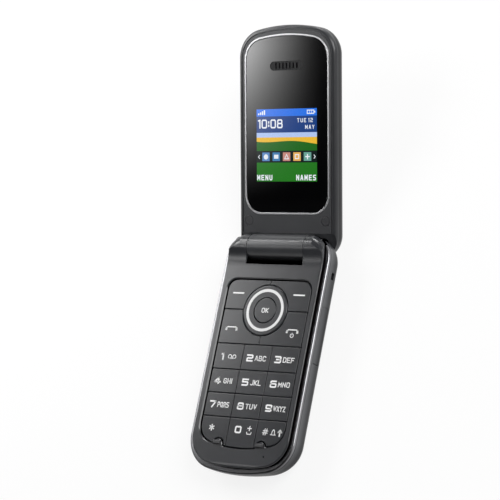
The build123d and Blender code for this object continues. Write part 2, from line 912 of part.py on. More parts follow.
def key_domes():
    """Snap domes on the board under every pressing place."""
    places = [place for place in key_centres().values()]
    for place in PolarLocations(nav_nub_run, 4):
        places.append((place.position.X, place.position.Y + nav_y))
    domes = Part()
    for x, y in places:
        r = dome_r if hypot(x, y - nav_y) < 0.1 or hypot(x, y - nav_y) > nav_r else dome_r * 0.8
        domes += chamfer(
            disc(x, y, r, board_top_z, board_top_z + dome_height).edges().group_by(Axis.Z)[-1],
            dome_height * 0.6,
        )
    return domes


# --- inner pieces of the base
def main_board():
    """Circuit board, holed for the bosses and notched for the connector."""
    body = slab(cavity_plan(front_wall_in + 0.2), board_under_z, board_top_z)
    return body - bosses(boss_r + 0.4, 0, base_height)


def board_shield():
    """Pressed can over the radio parts on the back of the board."""
    half = shield_width / 2
    can = block(-half, half, shield_low_y, shield_top_y, floor_top_z + board_gap, board_under_z)
    return fillet(can.edges().filter_by(Axis.Z), 1.5)


def microphone():
    return disc(mic_x, mic_y, mic_r, board_top_z, plate_under_z - 0.05)


def motor_rod(r, x0, x1):
    """A cylinder on the vibration motor's axis."""
    return Pos((x0 + x1) / 2, motor_y, motor_z) * Rot(0, 90, 0) * Cylinder(r, x1 - x0)


def vibration_motor():
    """Can motor lying along X with its half-round weight."""
    end_x = motor_x + motor_length / 2
    can_end = end_x - weight_length - motor_gap
    low_x = motor_x - motor_length / 2
    r = motor_r - motor_gap
    can = motor_rod(motor_r, low_x, can_end)
    weight = motor_rod(r, end_x - weight_length, end_x)
    weight -= block(low_x, end_x + 1, motor_y - motor_r, motor_y + motor_r, motor_z - motor_r, motor_z - 0.2)
    return can + weight + motor_rod(motor_shaft_r, can_end - 1, end_x)


def loudspeaker():
    """Round speaker: basket, raised surround and magnet."""
    low = speaker_low_z
    basket = disc(0, speaker_y, speaker_r, low, low + speaker_height * 0.6)
    magnet = disc(0, speaker_y, speaker_r * 0.7, low, low + speaker_height)
    return basket + magnet


def antenna_carrier():
    """Plastic horn at the lower end that holds the antenna foil."""
    half = antenna_size / 2
    x0, y0 = antenna_x - half, antenna_y - half
    body = block(x0, antenna_x + half, y0, antenna_y + half, floor_top_z + board_gap, board_under_z)
    return fillet(body.edges().filter_by(Axis.Z), 1.0)


def charging_socket():
    """Connector shell with an open mouth and its contact tongue."""
    y0, y1 = socket_y - socket_length / 2, socket_y + socket_length / 2
    high = socket_low_z + socket_height
    shell = block(socket_x - socket_depth, socket_x, y0 + 0.1, y1 - 0.1, socket_low_z, high)
    rim = socket_rim
    mouth = block(
        socket_x - socket_depth + 0.8, socket_x + 1, y0 + rim, y1 - rim, socket_low_z + rim, high - rim
    )
    tongue_z = socket_low_z + socket_height / 2
    tongue = block(socket_x - socket_depth, socket_x - 1.2, y0 + 2, y1 - 2, tongue_z - 0.3, tongue_z + 0.3)
    return shell - mouth + tongue


def battery():
    """Slim pack with rounded long edges."""
    y1 = bay_top_y - bay_gap
    y0 = y1 - battery_length
    low = floor_bottom - 0.1 - battery_thickness
    pack = block(-battery_width / 2, battery_width / 2, y0, y1, low, low + battery_thickness)
    return fillet(pack.edges().filter_by(Axis.Y), 0.6)


def battery_contacts():
    """Three spring blades in their block, bearing on the battery."""
    half = contact_width / 2
    y0, y1 = bay_top_y, bay_top_y + contact_depth
    body = block(contact_x - half, contact_x + half, y0, y1, contact_low_z, floor_bottom)
    for place in GridLocations(contact_pitch, 0, 3, 1):
        x = contact_x + place.position.X
        half = blade_width / 2
        body += block(x - half, x + half, y0 - bay_gap, y0 + 0.5, contact_low_z + 0.8, floor_bottom - 0.8)
    return body


def sim_holder():
    """Pressed card frame in the bay ceiling."""
    half_x, half_y = sim_width / 2, sim_length / 2
    high = floor_bottom + sim_thickness
    plate = block(sim_x - half_x, sim_x + half_x, sim_y - half_y, sim_y + half_y, floor_bottom, high)
    half_x, half_y = half_x - sim_rim, half_y - sim_rim
    mid = floor_bottom + sim_thickness / 2
    return plate - block(sim_x - half_x, sim_x + half_x, sim_y - half_y, sim_y + half_y, 0, mid)


def housing_screws():
    """Four screws from the back into the front housing's bosses."""
    heads = bosses(screw_head_r, screw_seat_z - screw_head_height, screw_seat_z)
    return heads + bosses(screw_r, screw_seat_z, plate_under_z - 1.0)


def hinge_bush():
    """Hollow bush fixed in the right shoulder; the display flex runs inside."""
    x0, x1 = knuckle_half - bush_reach, shoulder_x + bush_seat
    return rod(bush_r, x0, x1) - rod(bush_bore_r, x0 - 1, x1 + 1)


def hinge_spindle():
    """Spindle fixed in the left shoulder, turning in the hinge cartridge."""
    return rod(spindle_r, -shoulder_x - spindle_seat, -spindle_end_in)


def lid_bumpers():
    """Two rubber wedges below the keypad that the closed lid rests on."""
    wedges = Part()
    for side in (-1, 1):
        y = bumper_y()
        wedge = block(
            side * bumper_x - bumper_width / 2, side * bumper_x + bumper_width / 2,
            y - bumper_length / 2, y + bumper_length / 2, base_height, base_height + lid_gap - 0.05,
        )
        wedges += fillet(wedge.edges().group_by(Axis.Z)[-1], 0.35)
    return wedges


def connector_flap():
    """Rubbery door in the side band with its two pins and the plug rib."""
    x0 = half_width - flap_thickness
    y1 = flap_low_y + flap_length
    body = block(x0, half_width, flap_pin_y, y1, flap_bottom, flap_top_z)
    body += disc(flap_pin_x, flap_pin_y, flap_thickness / 2, flap_bottom, flap_top_z)
    body += disc(
        flap_pin_x, flap_pin_y, flap_pin_r, flap_bottom - flap_pin_length, flap_top_z + flap_pin_length
    )
    rib_z = socket_low_z + socket_height / 2
    half = socket_length / 2 - socket_rim - 0.5
    body += block(x0 - 1.0, x0 + 0.1, socket_y - half, socket_y + half, rib_z - 0.45, rib_z + 0.45)
    return body


# --- lid, drawn closed over the keypad
def lid_plan(inset=0.0):
    """Outline of the lid, a little smaller than the base's."""
    return rounded_plan(
        lid_width - 2 * inset,
        lid_top_y - inset,
        lid_low_y + inset,
        end_arc_r - inset,
        lid_lower_corner_r - inset,
        lid_upper_corner_r - inset,
    )


def lid_point(run, rise):
    """A point of the Y-Z plane from a run along the lid and a rise from its inner face."""
    return (hinge_y - run, lid_z + rise)


def lid_floor_point(run):
    """A point just clear of the floor plane that the opened lid lies above."""
    return lid_point(run, lid_floor_rise + lid_slope * run)


def lid_profile():
    """Side profile: crowned outer face, rounded free end, undercut hinge end."""
    end_run = lid_free_run + 1
    nose_rise = lid_end_thickness - lid_nose_drop
    crown_start = lid_point(lid_free_run - lid_nose_run, lid_end_thickness)
    trough_low = polar(trough_r, trough_low_angle)
    trough_high = polar(trough_r, trough_high_angle)
    trough_mid = polar(trough_r, (trough_low_angle + trough_high_angle) / 2)
    with BuildSketch(Plane.YZ) as profile:
        with BuildLine():
            Line(lid_point(lid_neck_run, 0), lid_point(end_run, 0))
            Line(lid_point(end_run, 0), lid_point(end_run, nose_rise))
            ThreePointArc(
                lid_point(end_run, nose_rise),
                lid_point(lid_free_run - lid_nose_drop, lid_end_thickness - lid_nose_drop * 0.48),
                crown_start,
            )
            ThreePointArc(
                crown_start,
                lid_point(lid_free_run / 2, lid_thickness),
                lid_floor_point(lid_bend_run),
            )
            Line(lid_floor_point(lid_bend_run), lid_floor_point(-heel_run))
            Line(lid_floor_point(-heel_run), polar(heel_r, heel_angle))
            Line(polar(heel_r, heel_angle), trough_low)
            ThreePointArc(trough_low, trough_mid, trough_high)
            Line(trough_high, lid_point(lid_neck_run, 0))
        make_face()
    return profile.sketch


def lid_form():
    """The lid's whole outer form before it is split into frame and shell."""
    tall = slab(lid_plan(), lid_z, lid_z + lid_thickness + 0.6)
    outer = tall.edges().group_by(Axis.Z)[-1]
    tall = fillet(outer, lid_outer_edge_r)
    inner = [
        edge
        for edge in tall.edges().group_by(Axis.Z)[0]
        if edge.center().Y < hinge_y - lid_neck_run + 1 or not runs_along_x(edge)
    ]
    tall = fillet(inner, lid_inner_edge_r)
    return tall & around_x(lid_profile(), -half_width, half_width)


def ring_outline(inset=0.0):
    """Outline of the bright ring round the window, drawn in by an inset."""
    return rounded_plan(
        2 * (ring_half_width - inset),
        hinge_y - ring_low_run - inset,
        hinge_y - ring_high_run + inset,
        end_arc_r - 3 - inset,
        ring_upper_r - inset,
        ring_lower_r - inset,
    )


def lid_layer(outline, low, high):
    """A flat outline made solid between two rises above the lid's inner face."""
    return slab(outline, lid_z + low, lid_z + high)


def lid_rectangle(width, low_run, high_run):
    """A rectangle on the lid between two runs from the hinge."""
    return Pos(0, hinge_y - (low_run + high_run) / 2) * Rectangle(width, high_run - low_run)


def neck_rise(run):
    """Rise of the neck's back, kept off the floor plane of the opened lid."""
    return lid_floor_rise - lid_slope * run - neck_floor_gap


def lid_neck():
    """Centre knuckle and the neck that joins it to the lid, without its bores."""
    with BuildSketch(Plane.YZ) as side:
        with BuildLine():
            Polyline(
                (hinge_y - shoulder_r, hinge_z),
                (hinge_y - shoulder_r, lid_z + 0.6),
                (hinge_y - shoulder_r - 1.2, lid_z + lid_parting),
                (hinge_y + neck_top_run, lid_z + lid_parting),
                lid_point(-neck_top_run, neck_rise(neck_top_run)),
                lid_point(-neck_back_run, neck_rise(neck_back_run)),
                lid_point(-shoulder_r, lid_parting - 0.6),
                (hinge_y + shoulder_r, hinge_z),
                (hinge_y - shoulder_r, hinge_z),
            )
        make_face()
    neck = around_x(side.sketch, -knuckle_half, knuckle_half)
    return neck + rod(shoulder_r, -knuckle_half, knuckle_half)


def lid_inner_frame(form):
    """Frame with the hinge knuckle, the window seat and the groove at its rim."""
    sheet = slab(lid_plan(-1), lid_z - 5, lid_z + lid_parting)
    body = form & sheet
    groove = lid_plan(lid_plate_margin) - lid_plan(lid_plate_margin + groove_size)
    groove = groove & lid_rectangle(lid_width, lid_neck_run, lid_free_run)
    body -= lid_layer(groove, -1, groove_size + 0.1)
    body += lid_neck()
    body -= lid_layer(ring_outline(), -1, ring_depth)
    body -= lid_layer(display_opening(), 0, lid_parting + 1)
    body -= lid_layer(earpiece_outline(1.2), 0, lid_parting + 1)
    for x in (-plug_half_span, plug_half_span):
        y = hinge_y - plug_run
        body -= disc(x, y, plug_r, lid_z - 1, lid_z + plug_depth)
        body -= disc(x, y, screw_head_r, lid_z, lid_z + plug_depth + screw_head_height)
        body -= disc(x, y, screw_r + 0.1, lid_z, lid_z + lid_parting + 1)
    body -= lid_magnet()
    body -= rod(cartridge_r, -knuckle_half - 1, -knuckle_half + cartridge_length)
    body -= rod(bush_r + running_gap, knuckle_half - bush_reach - 0.3, knuckle_half + 1)
    body -= rod(flex_r + 0.3, 0.6, knuckle_half)
    return body - flex_path(0.25)


def lid_outer_shell(form):
    """Crowned outer shell, hollow for the display, notched round the neck."""
    body = form - slab(lid_plan(-1), lid_z - 9, lid_z + lid_parting)
    hollow = lid_plan(lid_shell_wall + 0.3) & lid_rectangle(lid_width, 7.0, lid_free_run - 5.5)
    space = lid_layer(hollow, lid_parting, lid_thickness - lid_shell_wall - 0.2)
    space = fillet(space.edges().group_by(Axis.Z)[-1], 1.5)
    body -= space
    notch_x = knuckle_half + 0.1
    notch_y = hinge_y + neck_top_run - 0.1
    body -= block(-notch_x, notch_x, notch_y, hinge_y + 9, lid_z - 9, lid_z + 9)
    for x in (-plug_half_span, plug_half_span):
        y = hinge_y - plug_run
        body += disc(x, y, post_r, lid_z + lid_parting, lid_z + lid_thickness - post_end_in) & form
        body -= disc(x, y, screw_r, lid_z, lid_z + lid_thickness - post_bore_end_in)
    return body - rod(trough_r, -half_width, half_width) - lid_neck() - flex_tail(0.2)


def display_opening():
    """Opening in the frame for the display module."""
    return lid_rectangle(
        view_width + 2 * module_margin + 0.4, view_low_run - module_margin - 0.2,
        view_low_run + view_length + module_margin + 0.2,
    )


def earpiece_outline(margin=0.0):
    """Obround of the earpiece opening, grown by a margin."""
    place = Pos(0, hinge_y - earpiece_run)
    return place * SlotOverall(earpiece_width + 2 * margin, earpiece_height + 2 * margin)


def window_ring():
    """Bright ring pressed in round the window."""
    ring = lid_layer(ring_outline() - ring_outline(ring_stroke), -ring_proud, ring_depth)
    return fillet(ring.edges().group_by(Axis.Z)[0], 0.12)


def display_window():
    """Glossy window with the obround opening of the earpiece."""
    pane = lid_layer(ring_outline(ring_stroke + window_gap), 0, window_thickness)
    pane = chamfer(pane.edges().group_by(Axis.Z)[0], 0.1)
    return pane - lid_layer(earpiece_outline(), -1, window_thickness + 1)


def earpiece_grille():
    """Slotted grille set into the window over the earpiece."""
    body = lid_layer(earpiece_outline(-0.05), 0.15, window_thickness)
    slots = Sketch()
    slot_outline = SlotOverall(earpiece_height - 2 * grille_end_in, grille_slot_width, rotation=90)
    for place in GridLocations(grille_pitch, 0, grille_slots, 1):
        slots += Pos(0, hinge_y - earpiece_run) * place * slot_outline
    return body - lid_layer(slots, -1, window_thickness + 1)


def display_module():
    """Display glass in its metal frame, behind the window."""
    margin = module_margin
    outline = lid_rectangle(view_width + 2 * margin, view_low_run - margin, view_low_run + view_length + margin)
    frame = lid_layer(outline, module_rise, module_rise + module_thickness)
    return fillet(frame.edges().filter_by(Axis.Z), 0.8)


def backlight():
    """Light guide on the back of the display."""
    outline = lid_rectangle(view_width + 2, view_low_run - 1, view_low_run + view_length + 1)
    return lid_layer(outline, backlight_rise, backlight_rise + backlight_thickness)


def lid_board():
    """Small board behind the display, reaching the earpiece."""
    outline = lid_rectangle(view_width + 5, plug_run + 4, earpiece_run + 5)
    outline = fillet(outline.vertices(), 2)
    return lid_layer(outline, lid_board_rise, lid_board_rise + lid_board_thickness)


def earpiece():
    """Obround receiver capsule behind the grille."""
    return lid_layer(earpiece_outline(0.9), module_rise, lid_board_rise)


def lid_magnet():
    """Magnet that tells the base the lid is shut."""
    y0 = hinge_y - lid_free_run + magnet_run_in - magnet_width / 2
    x0, x1 = magnet_x - magnet_length / 2, magnet_x + magnet_length / 2
    return block(x0, x1, y0, y0 + magnet_width, lid_z + 1.0, lid_z + lid_parting)


def screw_plugs():
    """Two round plugs over the lid's screws."""
    plugs = Part()
    for x in (-plug_half_span, plug_half_span):
        y = hinge_y - plug_run
        plug = disc(x, y, plug_r - 0.08, lid_z + 0.05, lid_z + plug_depth)
        plugs += fillet(plug.edges().group_by(Axis.Z)[0], 0.15)
    return plugs


def lid_screws():
    """Two screws that clamp the frame to the outer shell's posts."""
    screws = Part()
    for x in (-plug_half_span, plug_half_span):
        y = hinge_y - plug_run
        low = lid_z + plug_depth
        screws += disc(x, y, screw_head_r - 0.15, low, low + screw_head_height)
        screws += disc(x, y, screw_r, low + screw_head_height, lid_z + lid_thickness - lid_screw_end_in)
    return screws


def hinge_cartridge():
    """Spring-and-cam cartridge in the knuckle's left bore."""
    body = rod(cartridge_r, -knuckle_half, -knuckle_half + cartridge_length)
    bore_end = -knuckle_half + cartridge_length - cartridge_end
    return body - rod(spindle_r + running_gap, -knuckle_half - 1, bore_end)


def flex_path(gap=0.0):
    """Flat run of the display flex from the knuckle up into the lid."""
    x0, x1 = flex_x - flex_width / 2 - gap, flex_x + flex_width / 2 + gap
    y0, y1 = hinge_y - flex_r - flex_thickness / 2 - gap, hinge_y - flex_r + flex_thickness + gap
    return block(x0, x1, y0, y1, hinge_z, lid_z + lid_parting)


def display_flex():
    """Flex rolled along the hinge axis and led up through the neck."""
    roll = rod(flex_r, flex_x - flex_width / 2, shoulder_x + 3.5)
    roll -= rod(flex_r - flex_thickness, flex_x - flex_width, shoulder_x + 9)
    return roll + flex_path() + flex_tail()


def flex_tail(gap=0.0):
    """Flat end of the display flex behind the frame, up to the lid board."""
    low = lid_z + lid_parting
    return block(
        flex_x - flex_width / 2 - gap,
        flex_x + flex_width / 2 + gap,
        hinge_y - flex_tail_run,
        hinge_y - flex_r + flex_thickness + gap,
        low,
        low + flex_thickness + gap,
    )


# --- assembly
lid_shape = lid_form()
base_pieces = {
    "front_housing": front_housing(),
    "trim_band": trim_band(),
    "rear_housing": rear_housing(),
    "battery_cover": battery_cover(),
    "connector_flap": connector_flap(),
    "lid_bumpers": lid_bumpers(),
    "ok_key": ok_key(),
    "nav_key": nav_key(),
    "nav_inlay": nav_inlay(),
    "nav_carrier": nav_carrier(),
    "keypad_mat": keypad_mat(),
    "key_domes": key_domes(),
    "main_board": main_board(),
    "board_shield": board_shield(),
    "microphone": microphone(),
    "vibration_motor": vibration_motor(),
    "loudspeaker": loudspeaker(),
    "antenna_carrier": antenna_carrier(),
    "charging_socket": charging_socket(),
    "battery": battery(),
    "battery_contacts": battery_contacts(),
    "sim_holder": sim_holder(),
    "housing_screws": housing_screws(),
    "hinge_bush": hinge_bush(),
    "hinge_spindle": hinge_spindle(),
    **number_keys(),
    **corner_keys(),
}
lid_pieces = {
    "lid_inner_frame": lid_inner_frame(lid_shape),
    "lid_outer_shell": lid_outer_shell(lid_shape),
    "window_ring": window_ring(),
    "display_window": display_window(),
    "earpiece_grille": earpiece_grille(),
    "display_module": display_module(),
    "backlight": backlight(),
    "lid_board": lid_board(),
    "earpiece": earpiece(),
    "lid_magnet": lid_magnet(),
    "screw_plugs": screw_plugs(),
    "lid_screws": lid_screws(),
    "hinge_cartridge": hinge_cartridge(),
    "display_flex": display_flex(),
}

os.makedirs("parts", exist_ok=True)
for name, piece in base_pieces.items():
    export_step(piece, "parts/" + name + ".step")
for name, piece in lid_pieces.items():
    export_step(piece.rotate(hinge_axis, -open_angle), "parts/" + name + ".step")
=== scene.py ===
"""Looks for a folding mobile phone: lid raised on its hinge, keypad half lying on the table.
The scene is in metres; the sizes of prints and finishes are written in millimetres and scaled.
X is across the phone, Y runs up the keypad, Z is up."""

import bpy
import numpy as np
from mathutils import Matrix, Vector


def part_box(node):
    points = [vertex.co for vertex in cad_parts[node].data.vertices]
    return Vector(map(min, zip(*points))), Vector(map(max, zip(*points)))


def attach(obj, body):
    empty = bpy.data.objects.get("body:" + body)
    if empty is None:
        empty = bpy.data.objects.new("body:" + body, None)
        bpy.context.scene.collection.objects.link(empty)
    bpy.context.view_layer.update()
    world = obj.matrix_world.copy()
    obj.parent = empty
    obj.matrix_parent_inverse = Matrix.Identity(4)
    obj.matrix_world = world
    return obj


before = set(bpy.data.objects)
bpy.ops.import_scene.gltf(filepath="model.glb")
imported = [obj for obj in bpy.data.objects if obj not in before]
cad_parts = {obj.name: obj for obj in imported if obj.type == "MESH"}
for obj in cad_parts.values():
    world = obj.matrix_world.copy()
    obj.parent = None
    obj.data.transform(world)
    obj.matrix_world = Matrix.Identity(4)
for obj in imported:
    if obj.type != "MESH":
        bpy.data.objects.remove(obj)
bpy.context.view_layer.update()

# ---------------------------------------------------------------- camera
# A long lens held above the right-hand lower side, far enough away that the
# keypad and the display show little perspective.
view_right = (0.82085569, 0.18985676, -0.53865606)
view_up = (-0.02030743, 0.95223737, 0.30468279)
view_back = (0.57077451, -0.23916188, 0.78550497)
camera_place = (0.42763, -0.14447, 0.61733)
camera_data = bpy.data.cameras.new("camera")
camera_data.sensor_width = 36.0
camera_data.lens = 144.0
camera_data.clip_start = 0.01
camera_data.clip_end = 20.0
camera = bpy.data.objects.new("camera", camera_data)
bpy.context.scene.collection.objects.link(camera)
columns = np.column_stack([view_right, view_up, view_back, camera_place])
camera.matrix_world = Matrix(np.vstack([columns, (0, 0, 0, 1)]).tolist())
bpy.context.scene.camera = camera
bpy.context.scene.view_settings.view_transform = "Standard"


# ---------------------------------------------------------------- table and room
# A matt white table top that keeps the phone's own soft shadow, in a room
# that is white at table level and dim overhead.
def sheet_mesh(name, corners, material):
    """A flat four-cornered sheet whose corners are given in turn."""
    mesh = bpy.data.meshes.new(name)
    mesh.from_pydata(corners, [], [(0, 1, 2, 3)])
    mesh.materials.append(material)
    sheet = bpy.data.objects.new(name, mesh)
    bpy.context.scene.collection.objects.link(sheet)
    return sheet


def shader_tree(name):
    """A new material with an empty node tree and its output node."""
    material = bpy.data.materials.new(name)
    material.use_nodes = True
    tree = material.node_tree
    tree.nodes.clear()
    return material, tree, tree.nodes.new("ShaderNodeOutputMaterial")


# Where the camera or a reflection meets the table, this share of it is plain white.
table_own_white = 0.86
table_white, tree, output = shader_tree("table_white")
matt = tree.nodes.new("ShaderNodeBsdfDiffuse")
matt.inputs["Color"].default_value = (0.9, 0.9, 0.9, 1)
glow = tree.nodes.new("ShaderNodeEmission")
glow.inputs["Strength"].default_value = 1.0
path = tree.nodes.new("ShaderNodeLightPath")
seen = tree.nodes.new("ShaderNodeMath")
seen.operation = "MAXIMUM"
seen_or_through = tree.nodes.new("ShaderNodeMath")
seen_or_through.operation = "MAXIMUM"
share = tree.nodes.new("ShaderNodeMath")
share.operation = "MULTIPLY"
share.inputs[1].default_value = table_own_white
blend = tree.nodes.new("ShaderNodeMixShader")
tree.links.new(path.outputs["Is Camera Ray"], seen.inputs[0])
tree.links.new(path.outputs["Is Glossy Ray"], seen.inputs[1])
tree.links.new(seen.outputs[0], seen_or_through.inputs[0])
tree.links.new(path.outputs["Is Transmission Ray"], seen_or_through.inputs[1])
tree.links.new(seen_or_through.outputs[0], share.inputs[0])
tree.links.new(share.outputs[0], blend.inputs[0])
tree.links.new(matt.outputs[0], blend.inputs[1])
tree.links.new(glow.outputs[0], blend.inputs[2])
tree.links.new(blend.outputs[0], output.inputs["Surface"])
table_reach = 4.0
table_height = -0.0001
table_signs = [(-1, -1), (1, -1), (1, 1), (-1, 1)]
table_corners = [(x * table_reach, y * table_reach, table_height) for x, y in table_signs]
table = sheet_mesh("table", table_corners, table_white)

# The room is white for directions that rise less than the first slope, and falls to the dim
# strength at the second.
white_to, dim_from = 0.15, 0.5
dim_strength = 0.024
room = bpy.data.worlds.new("room")
room.use_nodes = True
bpy.context.scene.world = room
tree = room.node_tree
tree.nodes.clear()
heading = tree.nodes.new("ShaderNodeTexCoord")
height = tree.nodes.new("ShaderNodeSeparateXYZ")
dimming = tree.nodes.new("ShaderNodeMapRange")
dimming.inputs["From Min"].default_value = white_to
dimming.inputs["From Max"].default_value = dim_from
dimming.inputs["To Min"].default_value = 1.0
dimming.inputs["To Max"].default_value = dim_strength
background = tree.nodes.new("ShaderNodeBackground")
background.inputs["Color"].default_value = (1, 1, 1, 1)
output = tree.nodes.new("ShaderNodeOutputWorld")
tree.links.new(heading.outputs["Generated"], height.inputs[0])
tree.links.new(height.outputs["Z"], dimming.inputs["Value"])
tree.links.new(dimming.outputs["Result"], background.inputs["Strength"])
tree.links.new(background.outputs[0], output.inputs["Surface"])


# ---------------------------------------------------------------- lamps
# A soft box on the left shows in the keypad half, two behind it in the hinge, a
# broad one lights the right side, and a graded card shows in the window.
def soft_box(name, place, target, width, length, power):
    """A rectangular soft lamp at place, turned to face target: its back points from the target to
    the lamp, its side is square to the Y axis and to its back, and its up is square to both."""
    data = bpy.data.lights.new(name, "AREA")
    data.shape = "RECTANGLE"
    data.size = width
    data.size_y = length
    data.energy = power
    lamp = bpy.data.objects.new(name, data)
    back = np.subtract(place, target)
    back = back / np.linalg.norm(back)
    side = np.cross((0, 1, 0), back)
    side = side / np.linalg.norm(side)
    up = np.cross(back, side)
    turn = np.column_stack([side, up, back, place])
    lamp.matrix_world = Matrix(np.vstack([turn, (0, 0, 0, 1)]).tolist())
    bpy.context.scene.collection.objects.link(lamp)
    lamp.visible_camera = False
    return lamp


# Each lamp is its place, what it faces, its width and length, and its power in watts.
soft_box("keypad_box", (-0.308, 0.15, 0.27), (0.0, 0.0, 0.0), 0.16, 0.2, 0.9)
soft_box("shoulder_box", (-0.12, 0.84, 0.27), (0.0, 0.04, 0.01), 0.24, 0.16, 2.0)
soft_box("barrel_box", (-0.46, 0.51, 0.42), (0.0, 0.04, 0.01), 0.16, 0.1, 0.8)
soft_box("side_box", (0.62, 0.32, 0.62), (0.0, 0.0, 0.0), 0.5, 0.5, 7.0)

# The card glows most at its corner and fades to nothing along both edges, by the square of the
# product of two straight ramps.
card_corner = np.array((-0.589, -0.113, 0.820))
card_across = np.array((0.069, -0.006, 0.020))
card_down = np.array((0.0, -0.127, -0.045))
card_glow = 11.0
card_fade_power = 2.0
card_white, tree, output = shader_tree("card_white")
place = tree.nodes.new("ShaderNodeTexCoord")
split = tree.nodes.new("ShaderNodeSeparateXYZ")
tree.links.new(place.outputs["Object"], split.inputs[0])
fade = tree.nodes.new("ShaderNodeMath")
fade.operation = "MULTIPLY"
fades = (
    ("X", card_corner[0] + card_across[0], card_corner[0]),
    ("Y", card_corner[1] + card_down[1], card_corner[1]),
)
for socket, (axis, dark_at, bright_at) in zip(fade.inputs, fades):
    ramp = tree.nodes.new("ShaderNodeMapRange")
    ramp.inputs["From Min"].default_value = dark_at
    ramp.inputs["From Max"].default_value = bright_at
    tree.links.new(split.outputs[axis], ramp.inputs["Value"])
    tree.links.new(ramp.outputs["Result"], socket)
eased = tree.nodes.new("ShaderNodeMath")
eased.operation = "POWER"
eased.inputs[1].default_value = card_fade_power
level = tree.nodes.new("ShaderNodeMath")
level.operation = "MULTIPLY"
level.inputs[1].default_value = card_glow
glow = tree.nodes.new("ShaderNodeEmission")
tree.links.new(fade.outputs[0], eased.inputs[0])
tree.links.new(eased.outputs[0], level.inputs[0])
tree.links.new(level.outputs[0], glow.inputs["Strength"])
tree.links.new(glow.outputs[0], output.inputs["Surface"])
card_ends = [(-1.0, -0.8), (1.0, -0.8), (1.0, 1.0), (-1.0, 1.0)]
corners = [tuple(card_corner + s * card_across + t * card_down) for s, t in card_ends]
window_card = sheet_mesh("window_card", corners, card_white)
window_card.visible_camera = False
window_card.visible_diffuse = False


# ---------------------------------------------------------------- housings
# The keypad half's two shells and its battery cover are moulded polycarbonate
# with a dark graphite satin paint, fine enough to show only a slight grain.
mm = 0.001
slow_cells = 90.0
middling_cells = 400.0
# A noise stays mostly between these two values.
noise_low, noise_high = 0.3, 0.7
sheen_drift = 0.1
grain_strength = 0.5


def outside_box(tree, place, centre, half_size):
    """A tone of 0 inside a box given in millimetres and 1 outside it: the greatest of the three
    distances from the centre, each over its half size, is compared with one."""
    offset = tree.nodes.new("ShaderNodeVectorMath")
    offset.operation = "SUBTRACT"
    offset.inputs[1].default_value = np.array(centre) * mm
    ratio = tree.nodes.new("ShaderNodeVectorMath")
    ratio.operation = "DIVIDE"
    ratio.inputs[1].default_value = np.array(half_size) * mm
    size = tree.nodes.new("ShaderNodeVectorMath")
    size.operation = "ABSOLUTE"
    axes = tree.nodes.new("ShaderNodeSeparateXYZ")
    greater, greatest, unshaded = (tree.nodes.new("ShaderNodeMath") for _ in range(3))
    greater.operation = greatest.operation = "MAXIMUM"
    unshaded.operation = "GREATER_THAN"
    unshaded.inputs[1].default_value = 1.0
    tree.links.new(place, offset.inputs[0])
    tree.links.new(offset.outputs[0], ratio.inputs[0])
    tree.links.new(ratio.outputs[0], size.inputs[0])
    tree.links.new(size.outputs[0], axes.inputs[0])
    tree.links.new(axes.outputs["X"], greater.inputs[0])
    tree.links.new(axes.outputs["Y"], greater.inputs[1])
    tree.links.new(greater.outputs[0], greatest.inputs[0])
    tree.links.new(axes.outputs["Z"], greatest.inputs[1])
    tree.links.new(greatest.outputs[0], unshaded.inputs[0])
    return unshaded.outputs[0]


def straight_ramp(tree, place, axis, start, end, low, high):
    """A tone that goes in a straight line, along one axis, from low at the start to high at the
    end, two places in millimetres, and stays level beyond them."""
    along = tree.nodes.new("ShaderNodeSeparateXYZ")
    climb = tree.nodes.new("ShaderNodeMapRange")
    climb.inputs["From Min"].default_value = start * mm
    climb.inputs["From Max"].default_value = end * mm
    climb.inputs["To Min"].default_value = low
    climb.inputs["To Max"].default_value = high
    tree.links.new(place, along.inputs[0])
    tree.links.new(along.outputs[axis], climb.inputs["Value"])
    return climb.outputs["Result"]


def product_of(tree, tones):
    """All the tones multiplied together."""
    tone = tones[0]
    for factor in tones[1:]:
        product = tree.nodes.new("ShaderNodeMath")
        product.operation = "MULTIPLY"
        tree.links.new(tone, product.inputs[0])
        tree.links.new(factor, product.inputs[1])
        tone = product.outputs[0]
    return tone


